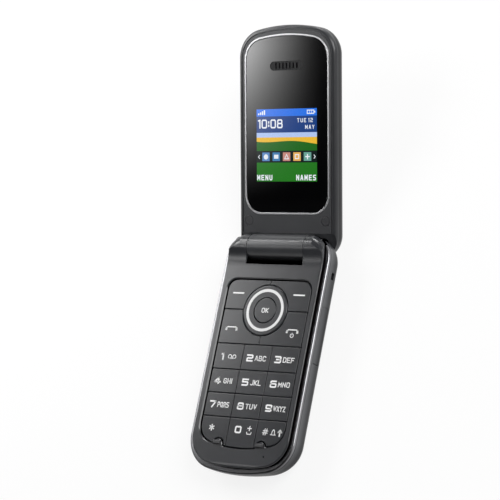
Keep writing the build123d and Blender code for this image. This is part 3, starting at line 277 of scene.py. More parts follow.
def moulded(
    name,
    colour,
    roughness,
    grain=0.00012,
    depth=0.000003,
    drift=0.12,
    metal=0.0,
    shine=0.5,
    shade_box=None,
    ramps=(),
):
    """Painted, moulded or plated surface: the colour drifts by its share with a slow noise, the
    roughness by its own share with a middling noise, and a fine noise of the grain's size and depth
    gives the bump. Where there is a box of painted shade or a ramp of painted shade and highlight,
    colour and shine are multiplied by its tone."""
    material, tree, output = shader_tree(name)
    shader = tree.nodes.new("ShaderNodeBsdfPrincipled")
    shader.inputs["Metallic"].default_value = metal
    shader.inputs["Specular IOR Level"].default_value = shine
    place = tree.nodes.new("ShaderNodeTexCoord").outputs["Object"]
    cloud = tree.nodes.new("ShaderNodeTexNoise")
    cloud.inputs["Scale"].default_value = slow_cells
    cloud.inputs["Detail"].default_value = 4.0
    shade = tree.nodes.new("ShaderNodeValToRGB")
    dark_end, light_end = shade.color_ramp.elements
    dark_end.position = noise_low
    light_end.position = noise_high
    dark_end.color = tuple(c * (1 - drift) for c in colour) + (1,)
    light_end.color = tuple(c * (1 + drift) for c in colour) + (1,)
    handling = tree.nodes.new("ShaderNodeTexNoise")
    handling.inputs["Scale"].default_value = middling_cells
    handling.inputs["Detail"].default_value = 3.0
    sheen = tree.nodes.new("ShaderNodeMapRange")
    sheen.inputs["To Min"].default_value = roughness * (1 - sheen_drift)
    sheen.inputs["To Max"].default_value = roughness * (1 + sheen_drift)
    speckle = tree.nodes.new("ShaderNodeTexNoise")
    speckle.inputs["Scale"].default_value = 1.0 / grain
    speckle.inputs["Detail"].default_value = 1.0
    bump = tree.nodes.new("ShaderNodeBump")
    bump.inputs["Strength"].default_value = grain_strength
    bump.inputs["Distance"].default_value = depth
    for texture in (cloud, handling, speckle):
        tree.links.new(place, texture.inputs["Vector"])
    tree.links.new(cloud.outputs["Fac"], shade.inputs["Fac"])
    tree.links.new(shade.outputs["Color"], shader.inputs["Base Color"])
    # Painted shade and painted highlight: the box and ramps scale the colour and the shine.
    tones = [outside_box(tree, place, *shade_box)] if shade_box else []
    tones += [straight_ramp(tree, place, *ramp) for ramp in ramps]
    if tones:
        tone = product_of(tree, tones)
        darken = tree.nodes.new("ShaderNodeVectorMath")
        darken.operation = "SCALE"
        gloss = tree.nodes.new("ShaderNodeMath")
        gloss.operation = "MULTIPLY"
        gloss.inputs[1].default_value = shine
        tree.links.new(tone, gloss.inputs[0])
        tree.links.new(gloss.outputs[0], shader.inputs["Specular IOR Level"])
        tree.links.new(shade.outputs["Color"], darken.inputs[0])
        tree.links.new(tone, darken.inputs["Scale"])
        tree.links.new(darken.outputs["Vector"], shader.inputs["Base Color"])
    tree.links.new(handling.outputs["Fac"], sheen.inputs["Value"])
    tree.links.new(sheen.outputs["Result"], shader.inputs["Roughness"])
    tree.links.new(speckle.outputs["Fac"], bump.inputs["Height"])
    tree.links.new(bump.outputs["Normal"], shader.inputs["Normal"])
    tree.links.new(shader.outputs["BSDF"], output.inputs["Surface"])
    return material


def dress(material, *names):
    """Gives one finish to each of the named parts."""
    for name in names:
        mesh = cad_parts[name].data
        mesh.materials.clear()
        mesh.materials.append(material)


# Painted shade darkens the front housing below its visible edge, in the crease behind the bead.
# Each box of painted shade is its centre and half sizes; each ramp is an axis, two places and the
# tone at each.
painted_crease_shade = ((0.0, 0.0, 5.8), (100.0, 100.0, 5.8))
graphite_satin = moulded("graphite_satin", (0.024, 0.025, 0.028), 0.25, shade_box=painted_crease_shade)
dress(graphite_satin, "front_housing")
# Painted shade darkens the rear housing in the hinge slot; a painted highlight brightens it
# towards the bead, and painted shade darkens it lower down and round the lower end.
painted_slot_shade = ((0.0, 39.8, 5.2), (13.3, 5.2, 4.45))
painted_bead_highlight = ("Z", 5.0, 9.6, 0.4, 2.2)
painted_end_shade = ("Y", -45.0, -33.0, 0.35, 1.0)
graphite_matt = moulded(
    "graphite_matt",
    (0.028, 0.029, 0.032),
    0.34,
    shine=0.4,
    shade_box=painted_slot_shade,
    ramps=[painted_bead_highlight, painted_end_shade],
)
dress(graphite_matt, "rear_housing", "battery_cover")

# ---------------------------------------------------------------- trim band
# The bead between the two shells is a separate moulding, vacuum plated and
# toned down to a dark chrome.
# Painted shade darkens the bead towards the lower end.
painted_trim_end_shade = ("Y", -45.0, -36.0, 0.3, 1.0)
dark_plate = moulded(
    "dark_plate", (0.24, 0.24, 0.25), 0.3, depth=0.000001, metal=1.0, ramps=[painted_trim_end_shade]
)
dress(dark_plate, "trim_band")

# ---------------------------------------------------------------- lid mouldings
# The lid's inner frame carries the display and wraps the hinge; its outer
# shell is the painted back, a satin metallic grey. Both have painted shade
# darkening their sides, and the shell also its free end.
painted_frame_edge_shade = [("X", -21.8, -19.8, 0.42, 1.0), ("X", 20.0, 22.0, 1.0, 0.7)]
lid_graphite = moulded("lid_graphite", (0.034, 0.035, 0.038), 0.3, ramps=painted_frame_edge_shade)
dress(lid_graphite, "lid_inner_frame")
painted_shell_edge_shade = [("X", -23.0, -17.0, 0.2, 1.0), ("X", 17.0, 22.5, 1.0, 0.24)]
painted_shell_edge_shade += [("Y", 114.0, 121.0, 1.0, 0.3)]
lid_paint = moulded(
    "lid_paint",
    (0.115, 0.117, 0.122),
    0.33,
    grain=0.00006,
    depth=0.000001,
    metal=0.4,
    ramps=painted_shell_edge_shade,
)
dress(lid_paint, "lid_outer_shell")

# ---------------------------------------------------------------- display window
# One sheet of clear acrylic, printed black behind all round the display and set
# flush in a bright plated ring. The slotted grille above it is a black moulding
# over the earpiece.
window_black = moulded(
    "window_black", (0.0012, 0.0012, 0.0015), 0.05, grain=0.0008, depth=0.0000003
)
dress(window_black, "display_window")
ring_plate = moulded("ring_plate", (0.46, 0.46, 0.47), 0.3, depth=0.000001, metal=1.0)
dress(ring_plate, "window_ring")
grille_black = moulded("grille_black", (0.006, 0.006, 0.007), 0.5, shine=0.3)
dress(grille_black, "earpiece_grille")

# ---------------------------------------------------------------- keys
# The keys are hard plastic caps with the same satin paint, a little darker
# than the housing, on one rubber mat. A pale plastic ring is let into the
# navigation key.
key_satin = moulded("key_satin", (0.021, 0.022, 0.025), 0.23)
key_names = ["key_star", "key_hash", "soft_key_left", "soft_key_right", "call_key", "end_key"]
key_names += ["ok_key", "nav_key"]
key_names += [f"key_{digit}" for digit in range(10)]
dress(key_satin, *key_names)
nav_white = moulded("nav_white", (0.68, 0.68, 0.68), 0.4, drift=0.03)
dress(nav_white, "nav_inlay")

# ---------------------------------------------------------------- rubber and flap
# The socket flap is a soft elastomer moulding that swings out of the side band.
# The two rests for the closed lid and the plugs over the lid screws are rubber.
# The flap takes the same painted highlight towards the bead as the rear housing.
flap_rubber = moulded("flap_rubber", (0.028, 0.029, 0.032), 0.42, shine=0.4, ramps=[painted_bead_highlight])
dress(flap_rubber, "connector_flap")
black_rubber = moulded("black_rubber", (0.014, 0.014, 0.016), 0.45)
dress(black_rubber, "lid_bumpers")
plug_rubber = moulded("plug_rubber", (0.024, 0.024, 0.027), 0.4)
dress(plug_rubber, "screw_plugs")

# ---------------------------------------------------------------- inside parts
# Boards, cell, shields and fittings that show only through gaps or with the
# cover off, each in its usual finish.
mat_silicone = moulded("mat_silicone", (0.10, 0.10, 0.11), 0.6)
dress(mat_silicone, "keypad_mat")
board_green = moulded("board_green", (0.02, 0.11, 0.05), 0.4, drift=0.3)
dress(board_green, "main_board", "lid_board")
board_plastic = moulded("board_plastic", (0.03, 0.03, 0.032), 0.5)
dress(board_plastic, "antenna_carrier", "battery_contacts", "microphone", "loudspeaker", "earpiece")
sheet_steel = moulded("sheet_steel", (0.56, 0.56, 0.55), 0.3, metal=1.0)
dress(sheet_steel, "board_shield", "sim_holder", "charging_socket", "display_module")
turned_steel = moulded("turned_steel", (0.5, 0.5, 0.5), 0.31, metal=1.0)
dress(turned_steel, "housing_screws", "lid_screws", "hinge_spindle")
dress(turned_steel, "vibration_motor", "lid_magnet")
cell_label = moulded("cell_label", (0.18, 0.19, 0.2), 0.4)
dress(cell_label, "battery")
dome_steel = moulded("dome_steel", (0.6, 0.58, 0.5), 0.3, metal=1.0)
dress(dome_steel, "key_domes")
hinge_plastic = moulded("hinge_plastic", (0.09, 0.09, 0.095), 0.4)
dress(hinge_plastic, "hinge_bush", "hinge_cartridge", "nav_carrier")
light_guide = moulded("light_guide", (0.75, 0.76, 0.78), 0.3, drift=0.03)
dress(light_guide, "backlight")
flex_film = moulded("flex_film", (0.35, 0.16, 0.03), 0.35)
dress(flex_film, "display_flex")

# ---------------------------------------------------------------- key lettering
# Numbers, letters and call signs are printed on the caps in white ink, one
# printing for each cap, drawn in plain square strokes with cut corners.

# Each glyph is its pen lines, on a grid six units tall.
glyph_tall = 6.0
glyphs = {
    "0": [
        [(0, 0.8), (0, 5.2), (0.6, 6), (3.4, 6), (4, 5.2), (4, 0.8), (3.4, 0), (0.6, 0), (0, 0.8)],
    ],
    "1": [[(0.4, 5.6), (1.6, 6), (1.6, 0)]],
    "2": [[(0, 6), (3.5, 6), (4, 5.4), (4, 3.6), (3.5, 3), (0.5, 3), (0, 2.4), (0, 0), (4, 0)]],
    "3": [
        [(0, 6), (3.5, 6), (4, 5.4), (4, 3.8), (3.4, 3.1), (1, 3.1)],
        [(3.4, 3.1), (4, 2.4), (4, 0.6), (3.5, 0), (0, 0)],
    ],
    "4": [[(3, 0), (3, 6), (0, 1.6), (4.2, 1.6)]],
    "5": [[(4, 6), (0, 6), (0, 3.4), (3.5, 3.4), (4, 2.8), (4, 0.6), (3.5, 0), (0, 0)]],
    "6": [
        [(3.8, 6), (0.6, 6), (0, 5.2), (0, 0.6), (0.5, 0), (3.5, 0), (4, 0.6), (4, 2.8)]
        + [(3.5, 3.4), (0, 3.4)],
    ],
    "7": [[(0, 6), (4, 6), (1.6, 0)]],
    "8": [
        [(0.7, 3.2), (0.2, 3.8), (0.2, 5.4), (0.7, 6), (3.3, 6), (3.8, 5.4), (3.8, 3.8), (3.3, 3.2)]
        + [(0.7, 3.2)],
        [(0.6, 3.2), (0, 2.5), (0, 0.6), (0.5, 0), (3.5, 0), (4, 0.6), (4, 2.5), (3.4, 3.2)],
    ],
    "9": [
        [(4, 2.6), (0.5, 2.6), (0, 3.2), (0, 5.4), (0.5, 6), (3.5, 6), (4, 5.4), (4, 0.8)]
        + [(3.4, 0), (0.2, 0)],
    ],
    "A": [[(0, 0), (1.7, 6), (2.3, 6), (4, 0)], [(0.6, 2), (3.4, 2)]],
    "B": [
        [(3.2, 3.2), (3.8, 3.9), (3.8, 5.2), (3, 6), (0, 6), (0, 0), (3.2, 0), (4, 0.8)]
        + [(4, 2.4), (3.2, 3.2), (0, 3.2)],
    ],
    "C": [[(4, 5), (3, 6), (1, 6), (0, 5), (0, 1), (1, 0), (3, 0), (4, 1)]],
    "D": [[(0, 0), (0, 6), (2.8, 6), (4, 4.8), (4, 1.2), (2.8, 0), (0, 0)]],
    "E": [[(4, 6), (0, 6), (0, 0), (4, 0)], [(0, 3.1), (3.4, 3.1)]],
    "F": [[(4, 6), (0, 6), (0, 0)], [(0, 3), (3.4, 3)]],
    "G": [[(4, 5.2), (3, 6), (1, 6), (0, 5), (0, 1), (1, 0), (3, 0), (4, 1), (4, 2.8), (2.4, 2.8)]],
    "H": [[(0, 0), (0, 6)], [(4, 0), (4, 6)], [(0, 3), (4, 3)]],
    "I": [[(0, 0), (0, 6)]],
    "J": [[(3.4, 6), (3.4, 1), (2.6, 0), (0.8, 0), (0, 0.8)]],
    "K": [[(0, 0), (0, 6)], [(4, 6), (0.8, 3), (4, 0)]],
    "L": [[(0, 6), (0, 0), (3.6, 0)]],
    "M": [[(0, 0), (0, 6), (2.2, 2), (4.4, 6), (4.4, 0)]],
    "N": [[(0, 0), (0, 6), (4, 0), (4, 6)]],
    "O": [[(0, 1), (0, 5), (1, 6), (3, 6), (4, 5), (4, 1), (3, 0), (1, 0), (0, 1)]],
    "P": [[(0, 0), (0, 6), (3.2, 6), (4, 5.2), (4, 3.4), (3.2, 2.6), (0, 2.6)]],
    "Q": [
        [(0, 1), (0, 5), (1, 6), (3, 6), (4, 5), (4, 1), (3, 0), (1, 0), (0, 1)],
        [(2.6, 1.6), (4.2, -0.4)],
    ],
    "R": [[(0, 0), (0, 6), (3.2, 6), (4, 5.2), (4, 3.8), (3.2, 3), (0, 3)], [(2.2, 3), (4, 0)]],
    "S": [
        [(4, 6), (0.7, 6), (0, 5.3), (0, 3.8), (0.7, 3.1), (3.3, 3), (4, 2.3), (4, 0.7)]
        + [(3.3, 0), (0, 0)],
    ],
    "T": [[(0, 6), (4, 6)], [(2, 6), (2, 0)]],
    "U": [[(0, 6), (0, 1), (1, 0), (3, 0), (4, 1), (4, 6)]],
    "V": [[(0, 6), (2, 0), (4, 6)]],
    "W": [[(0, 6), (1.2, 0), (2.4, 4.4), (3.6, 0), (4.8, 6)]],
    "X": [[(0, 0), (4, 6)], [(0, 6), (4, 0)]],
    "Y": [[(0, 6), (2, 3), (4, 6)], [(2, 3), (2, 0)]],
    "Z": [[(0, 6), (4, 6), (0, 0), (4, 0)]],
    ":": [[(0, 1.2), (0, 1.9)], [(0, 3.9), (0, 4.6)]],
    "*": [[(0.2, 2), (3.8, 4)], [(0.2, 4), (3.8, 2)], [(2, 0.9), (2, 5.1)]],
    "#": [
        [(0.8, 0.2), (1.7, 5.8)],
        [(2.4, 0.2), (3.3, 5.8)],
        [(0, 2), (3.9, 2)],
        [(0.3, 4), (4.2, 4)],
    ],
}
# The least length of a mitre's sum along its side, and the cosine under which a line is cut.
sharpest_mitre = 0.6
doubling_back = -0.2


def word_strokes(word, centre, middle, tall, squeeze, gap):
    """The pen lines of a word: each glyph's grid points are scaled to the height, squeezed in width
    and set side by side, and the whole word is centred on the given place."""
    scale = tall / glyph_tall
    lines = []
    left = 0.0
    for letter in word:
        pen = [np.array(line, float) for line in glyphs[letter]]
        wide = max(line[:, 0].max() for line in pen)
        lines += [line * (scale * squeeze, scale) + (left, -tall / 2) for line in pen]
        left += wide * scale * squeeze + gap
    return [line + (centre - (left - gap) / 2, middle) for line in lines]


def plate_between(lower, upper, low, high, closed=False):
    """A plate between a lower and an upper edge line that have equal counts of points: both lines
    are laid at the low and high faces, and the four rows are joined by quads, all the way round for
    a closed ring and otherwise with one more quad over each end."""
    lower = np.asarray(lower, float)
    upper = np.asarray(upper, float)
    count = len(lower)
    rise = np.tile([high, high, low, low], (count, 1))[:, :, None]
    points = np.concatenate([np.stack([upper, lower, lower, upper], 1), rise], 2).reshape(-1, 3)
    rows = np.arange(count if closed else count - 1)[:, None]
    ahead = (rows + 1) % count
    corner = np.arange(4)[None, :]
    turn = (corner + 1) % 4
    quads = [rows * 4 + corner, rows * 4 + turn, ahead * 4 + turn, ahead * 4 + corner]
    quads = np.stack(quads[::-1], 2).reshape(-1, 4)
    if not closed:
        last = (count - 1) * 4
        quads = np.concatenate([quads, [(0, 1, 2, 3), (last + 3, last + 2, last + 1, last)]])
    return points, quads


def inked_line(line, width, low, high):
    """A pen line as a bar: each point is moved to both sides along its mitre, by half the width,
    and the two edge lines carry a plate, which is a closed ring where the line ends at its start.
    An open line is first made longer by half the width at both ends."""
    line = np.asarray(line, float)
    closed = len(line) > 3 and np.allclose(line[0], line[-1])
    if closed:
        line = line[:-1]
    step = np.roll(line, -1, 0) - line
    if not closed:
        step[-1] = step[-2]
    step /= np.linalg.norm(step, axis=1)[:, None]
    before = np.roll(step, 1, 0)
    if not closed:
        before[0] = step[0]
        line = line.copy()
        line[0] -= step[0] * width / 2
        line[-1] += step[-1] * width / 2
    left = np.column_stack([-step[:, 1], step[:, 0]])
    mitre = left + np.column_stack([-before[:, 1], before[:, 0]])
    mitre /= np.maximum((mitre * left).sum(1), sharpest_mitre)[:, None]
    return plate_between(line - mitre * width / 2, line + mitre * width / 2, low, high, closed)


def pen_bars(line, width, low, high):
    """The bars of one pen line, which is cut in two wherever it doubles back at a sharp corner:
    there the cosine between one step and the next is under the limit."""
    line = np.asarray(line, float)
    step = np.diff(line, axis=0)
    step /= np.linalg.norm(step, axis=1)[:, None]
    cuts = np.flatnonzero((step[1:] * step[:-1]).sum(1) < doubling_back) + 1
    ends = [0, *cuts, len(line) - 1]
    return [inked_line(line[a : b + 1], width, low, high) for a, b in zip(ends[:-1], ends[1:])]


def word_bars(word, centre, middle, tall, squeeze, gap, pen, low, high):
    """The bars of all the pen lines of a word."""
    lines = word_strokes(word, centre, middle, tall, squeeze, gap)
    return [bar for line in lines for bar in pen_bars(line, pen, low, high)]


def sign_bars(sign, place, low, high):
    """The bars of a sign moved to its place; a sign is a list of pen lines, each with its width."""
    return [bar for line, pen in sign for bar in pen_bars(np.array(line) + place, pen, low, high)]


def round_line(centre, radius, start=0.0, turn=360.0, count=24):
    """Points evenly spaced on a circle's arc, from a start angle through a turn, in degrees."""
    angle = np.radians(start + np.linspace(0, turn, count + 1))
    return np.column_stack([centre[0] + radius * np.cos(angle), centre[1] + radius * np.sin(angle)])


def solid_piece(name, parts, material, place=None):
    """One mesh from several closed bars or plates, each given as points in millimetres and quads;
    place, if given, maps all the points into position."""
    starts = np.cumsum([0] + [len(points) for points, quads in parts])
    points = np.concatenate([points for points, quads in parts])
    quads = np.concatenate([quads + start for (_, quads), start in zip(parts, starts)])
    if place is not None:
        points = place(points)
    mesh = bpy.data.meshes.new(name)
    mesh.from_pydata((points * mm).tolist(), [], quads.tolist())
    mesh.update()
    mesh.materials.append(material)
    piece = bpy.data.objects.new(name, mesh)
    bpy.context.scene.collection.objects.link(piece)
    return piece


key_ink = moulded("key_ink", (0.80, 0.80, 0.80), 0.4, drift=0.03)
ink_sunk = 0.03
ink_thick = 0.045
ink_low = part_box("key_5")[1].z / mm - ink_sunk
ink_high = ink_low + ink_thick
column_step = 12.8
# Each digit or sign is its shift across from the key's middle, its height, its squeeze and its pen.
digit_style = (-2.8, 2.2, 1.6, 0.6)
own_styles = {"0": (-1.8, 2.2, 1.6, 0.6), "*": (-1.2, 3.0, 1.0, 0.42), "#": (-2.3, 2.4, 1.3, 0.32)}
letter_shift = 2.0
letter_tall = 1.75
letter_pen = 0.32
# Squeeze and gap of the letters, for up to three of them and for four.
wide_letters = (1.0, 0.62)
narrow_letters = (0.72, 0.52)
# Each row is the place of its middle along the phone and its three keys.
rows_of_keys = [
    (-2.6, [("key_1", "1", ""), ("key_2", "2", "ABC"), ("key_3", "3", "DEF")]),
    (-12.05, [("key_4", "4", "GHI"), ("key_5", "5", "JKL"), ("key_6", "6", "MNO")]),
    (-21.3, [("key_7", "7", "PQRS"), ("key_8", "8", "TUV"), ("key_9", "9", "WXYZ")]),
    (-30.3, [("key_star", "*", ""), ("key_0", "0", ""), ("key_hash", "#", "")]),
]
message_tape = [
    (round_line((0.75, 0.1), 0.72), 0.3),
    (round_line((2.75, 0.1), 0.72), 0.3),
    ([(0.75, -0.62), (2.75, -0.62)], 0.3),
]
plus_and_space = [
    ([(2.5, 0.75), (4.1, 0.75)], 0.36),
    ([(3.3, 1.5), (3.3, 0.0)], 0.36),
    ([(2.3, -0.75), (2.5, -1.45), (4.1, -1.45), (4.3, -0.75)], 0.3),
]
bell = [(0.2, -0.9), (0.7, -0.5), (0.8, 0.5), (1.3, 1.1)]
bell += [(1.8, 0.5), (1.9, -0.5), (2.4, -0.9), (0.2, -0.9)]
bell_and_arrow = [
    (bell, 0.28),
    ([(4.2, -1.1), (4.2, 0.3)], 0.6),
    ([(3.4, 0.2), (4.2, 1.2), (5.0, 0.2), (3.4, 0.2)], 0.4),
]
extra_marks = {"key_1": message_tape, "key_0": plus_and_space, "key_hash": bell_and_arrow}
for middle, members in rows_of_keys:
    for column, (name, digit, letters) in zip((-1, 0, 1), members):
        across = column * column_step
        shift, tall, squeeze, pen = own_styles.get(digit, digit_style)
        bars = word_bars(digit, across + shift, middle, tall, squeeze, 0, pen, ink_low, ink_high)
        squeeze, gap = wide_letters if len(letters) < 4 else narrow_letters
        place_x = across + letter_shift
        bars += word_bars(
            letters, place_x, middle, letter_tall, squeeze, gap, letter_pen, ink_low, ink_high
        )
        bars += sign_bars(extra_marks.get(name, []), (across, middle), ink_low, ink_high)
        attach(solid_piece(f"{name}_print", bars, key_ink), name)

side_x = 13.9
nav_middle = 16.2
soft_middle = nav_middle + 6.5
call_middle = nav_middle - 7.5
dash = [([(-2.3, 0), (2.3, 0)], 0.55)]
handset = [
    ([(-2.3, -0.3), (-1.9, 0.45), (1.9, 0.45), (2.3, -0.3)], 0.42),
    ([(-2.35, -0.5), (-2.3, -0.2)], 0.85),
    ([(2.35, -0.5), (2.3, -0.2)], 0.85),
]
power_sign = [
    (round_line((0.15, -1.75), 0.72, 125, 290), 0.26),
    ([(0.15, -1.5), (0.15, -0.85)], 0.26),
]
side_marks = {
    "soft_key_left": (dash, (-side_x, soft_middle)),
    "soft_key_right": (dash, (side_x, soft_middle)),
    "call_key": (handset, (-side_x, call_middle)),
    "end_key": (handset + power_sign, (side_x, call_middle)),
}
for name, (sign, place) in side_marks.items():
    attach(solid_piece(f"{name}_print", sign_bars(sign, place, ink_low, ink_high), key_ink), name)

ok_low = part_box("ok_key")[1].z / mm - ink_sunk
bars = word_bars("OK", 0.0, nav_middle, 1.6, 1.05, 0.6, 0.3, ok_low, ok_low + ink_thick)
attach(solid_piece("ok_key_print", bars, key_ink), "ok_key")

# ---------------------------------------------------------------- flap marks
# The socket flap has an earphone and a plug moulded on its face in low relief,
# to tell what its two sockets are for.
flap_low, flap_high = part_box("connector_flap")
earphone_from_end = 6.5
plug_from_end = 15.0
flap_middle = (flap_low.z + flap_high.z) / 2 / mm
earphone_y = flap_high.y / mm - earphone_from_end
plug_y = flap_high.y / mm - plug_from_end


def on_flap(points):
    """Points given as run along the phone, height and rise, turned onto the flap's outer face."""
    return np.column_stack([flap_high.x / mm + points[:, 2], points[:, 0], points[:, 1]])


earphone = [
    (round_line((0, 0), 0.8, 15, 150), 0.24),
    ([(-0.8, 0.1), (-0.8, -0.6)], 0.45),
    ([(0.8, 0.1), (0.8, -0.6)], 0.45),
]
plug = [
    ([(-0.55, -0.1), (0.55, -0.1), (0.55, 0.7), (-0.55, 0.7), (-0.55, -0.1)], 0.24),
    ([(-0.25, -0.2), (-0.25, -0.8)], 0.22),
    ([(0.25, -0.2), (0.25, -0.8)], 0.22),
    ([(0.0, 0.8), (0.0, 1.3)], 0.22),
]
relief_low, relief_high = -0.08, -0.004
bars = sign_bars(earphone, (earphone_y, flap_middle), relief_low, relief_high)
bars += sign_bars(plug, (plug_y, flap_middle), relief_low, relief_high)
relief_rubber = moulded("relief_rubber", (0.075, 0.076, 0.08), 0.35)
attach(solid_piece("connector_flap_marks", bars, relief_rubber, on_flap), "flap")

# ---------------------------------------------------------------- display picture
# The lit liquid-crystal picture seen through the window: a plain landscape in
# bands, with a status bar, a clock, a strip of simple signs and two words. It
# is made of thin coloured plates in the window's face, one before the other.

# The hinge line's Y and Z, the window's rise over it and the picture's start along the lid are in
# millimetres. Each part of the picture has its back under the window's face and a small rise.
hinge_line = (41.9, 8.96)
lid_tilt = np.radians(20.0)
window_face = -3.84
picture_low_run = 25.4
picture_half_width = 13.9
picture_height = 27.9
picture_back = -0.02
band_face = 0.008
block_face = 0.016
sign_face = 0.024


def on_window(points):
    """Points given as across, height in the picture and rise above the window, turned onto the open
    lid: the run along the lid and the rise from it are rotated about the hinge line by the lid's
    tilt."""
    run = picture_low_run + points[:, 1]
    rise = window_face + points[:, 2]
    y = hinge_line[0] + run * np.cos(lid_tilt) - rise * np.sin(lid_tilt)
    z = hinge_line[1] + run * np.sin(lid_tilt) + rise * np.cos(lid_tilt)
    return np.column_stack([points[:, 0], y, z])


band_columns = 57


def picture_band(low_edge, high_edge):
    """A band across the picture between two heights, each a number or a function of the place
    across."""
    across = np.linspace(-picture_half_width, picture_half_width, band_columns)
    low = low_edge(across) if callable(low_edge) else np.full_like(across, low_edge)
    high = high_edge(across) if callable(high_edge) else np.full_like(across, high_edge)
    lower, upper = np.column_stack([across, low]), np.column_stack([across, high])
    return plate_between(lower, upper, picture_back, band_face)


def picture_block(x0, x1, y0, y1, face=block_face):
    """An upright rectangle of the picture."""
    return plate_between([(x0, y0), (x1, y0)], [(x0, y1), (x1, y1)], picture_back, face)


# The half outline stops this many degrees short at both ends, so the disc has blunt ends.
disc_blunt = 4
disc_points = 17


def picture_disc(x, y, radius):
    """A round sign of the picture, between the upper half of its circle and that turned over."""
    angle = np.linspace(np.radians(180 - disc_blunt), np.radians(disc_blunt), disc_points)
    upper = np.column_stack([x + radius * np.cos(angle), y + radius * np.sin(angle)])
    return plate_between(upper * (1, -1) + (0, 2 * y), upper, picture_back, sign_face)


hill_middle, hill_fall = 15.2, 0.045
wave_height, wave_pace, wave_start = 0.5, 0.21, 0.8


def hill(across):
    """The height of the hill's edge: a straight slope down to the right and a sine wave."""
    wave = wave_height * np.sin(across * wave_pace + wave_start)
    return hill_middle - hill_fall * across + wave


sky_blue = (0.010, 0.155, 0.76)
deep_blue = (0.003, 0.040, 0.20)
pale_blue = (0.42, 0.55, 0.86)
corn_yellow = (0.80, 0.47, 0.03)
leaf_green = (0.008, 0.125, 0.006)
grass_green = (0.014, 0.17, 0.010)
strip_black = (0.001, 0.008, 0.006)
sign_white = (0.80, 0.84, 0.90)
status_low, clock_low, sky_low = 25.1, 18.8, 17.0
strip_low, strip_high = 7.3, 11.8
picture_parts = [
    (picture_band(status_low, picture_height), sky_blue),
    (picture_band(clock_low, status_low), deep_blue),
    (picture_band(sky_low, clock_low), pale_blue),
    (picture_band(hill, sky_low), corn_yellow),
    (picture_band(strip_high, hill), leaf_green),
    (picture_band(strip_low, strip_high), strip_black),
    (picture_band(0.0, strip_low), grass_green),
]
# Four rising bars, then a cell with its cap and three charge marks.
picture_parts += [
    (picture_block(-13.2 + 0.9 * n, -12.6 + 0.9 * n, 25.7, 26.3 + 0.4 * n), sign_white)
    for n in range(4)
]
picture_parts += [
    (picture_block(9.4, 12.7, 25.75, 27.35), sign_white),
    (picture_block(12.7, 13.2, 26.2, 26.9), sign_white),
]
picture_parts += [
    (picture_block(9.75 + 0.95 * n, 10.5 + 0.95 * n, 26.1, 27.0, sign_face), sky_blue)
    for n in range(3)
]
# Each word's centre across and up, its height, its squeeze and its pen.
shown_words = [
    ("10:08", -7.6, 22.2, 2.9, 1.05, 0.55),
    ("TUE", 7.0, 23.4, 1.3, 0.9, 0.26),
    ("12", 11.0, 23.4, 1.3, 0.9, 0.26),
    ("MAY", 10.7, 20.8, 1.3, 0.9, 0.26),
    ("MENU", -10.2, 1.5, 1.7, 0.85, 0.42),
    ("NAMES", 8.9, 1.5, 1.7, 0.85, 0.42),
]
word_gap = 0.5
for word, x, y, tall, squeeze, pen in shown_words:
    bars = word_bars(word, x, y, tall, squeeze, word_gap + pen, pen, picture_back, sign_face)
    picture_parts += [(bar, sign_white) for bar in bars]
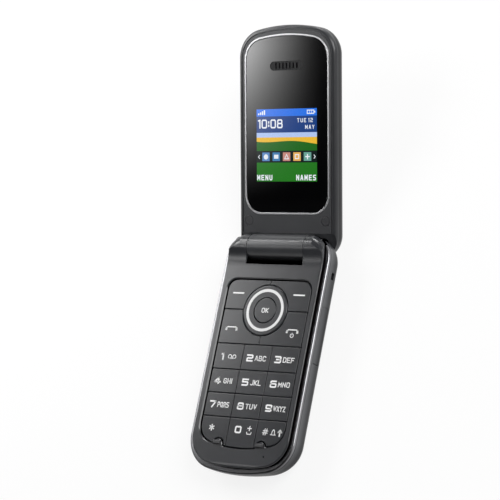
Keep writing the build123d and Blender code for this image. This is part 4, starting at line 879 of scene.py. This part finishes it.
# Five coloured tiles along the strip, by their place across, and the white sign on each.
tile_colours = {
    -9.6: (0.10, 0.24, 0.52),
    -4.8: (0.05, 0.20, 0.42),
    0.0: (0.55, 0.24, 0.20),
    4.8: (0.78, 0.42, 0.10),
    9.6: (0.14, 0.36, 0.30),
}
tile_half = 1.7
tile_low, tile_high = 7.9, 11.2
for x, colour in tile_colours.items():
    tile = picture_block(x - tile_half, x + tile_half, tile_low, tile_high)
    picture_parts.append((tile, colour))
picture_parts.append((picture_disc(-9.6, 9.5, 1.0), sign_white))
picture_parts.append((picture_block(-5.8, -3.8, 8.8, 10.3, sign_face), sign_white))
strip_lines = [
    ([(-0.9, 8.7), (0, 10.4), (0.9, 8.7), (-0.9, 8.7)], 0.35),
    ([(4.0, 10.3), (5.6, 10.3), (5.6, 8.8), (4.0, 8.8), (4.0, 10.3)], 0.35),
    ([(8.8, 9.5), (10.4, 9.5)], 0.45),
    ([(9.6, 8.7), (9.6, 10.3)], 0.45),
    ([(-12.6, 10.1), (-13.1, 9.5), (-12.6, 8.9)], 0.3),
    ([(12.6, 10.1), (13.1, 9.5), (12.6, 8.9)], 0.3),
]
strip_bars = [inked_line(line, pen, picture_back, sign_face) for line, pen in strip_lines]
picture_parts += [(bar, sign_white) for bar in strip_bars]
# The picture's fine dots: their cells in a metre, and the share of the tint at the least and most.
dot_cells = 2500.0
dot_dim, dot_bright = 0.82, 1.18
lit_picture, tree, output = shader_tree("lit_picture")
shader = tree.nodes.new("ShaderNodeBsdfPrincipled")
shader.inputs["Base Color"].default_value = (0.004, 0.004, 0.005, 1)
shader.inputs["Roughness"].default_value = 0.08
shader.inputs["Emission Strength"].default_value = 1.0
tint = tree.nodes.new("ShaderNodeAttribute")
tint.attribute_name = "tint"
dots = tree.nodes.new("ShaderNodeTexNoise")
dots.inputs["Scale"].default_value = dot_cells
place = tree.nodes.new("ShaderNodeTexCoord")
dimmed = tree.nodes.new("ShaderNodeMapRange")
dimmed.inputs["To Min"].default_value = dot_dim
dimmed.inputs["To Max"].default_value = dot_bright
glowing = tree.nodes.new("ShaderNodeVectorMath")
glowing.operation = "SCALE"
tree.links.new(place.outputs["Object"], dots.inputs["Vector"])
tree.links.new(dots.outputs["Fac"], dimmed.inputs["Value"])
tree.links.new(tint.outputs["Color"], glowing.inputs[0])
tree.links.new(dimmed.outputs["Result"], glowing.inputs["Scale"])
tree.links.new(glowing.outputs["Vector"], shader.inputs["Emission Color"])
tree.links.new(shader.outputs["BSDF"], output.inputs["Surface"])
plates = [plate for plate, colour in picture_parts]
picture = solid_piece("display_picture", plates, lit_picture, on_window)
tints = [np.tile(colour + (1.0,), (len(points), 1)) for (points, quads), colour in picture_parts]
layer = picture.data.attributes.new("tint", "FLOAT_COLOR", "POINT")
layer.data.foreach_set("color", np.concatenate(tints).astype(np.float32).ravel())
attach(picture, "lid")
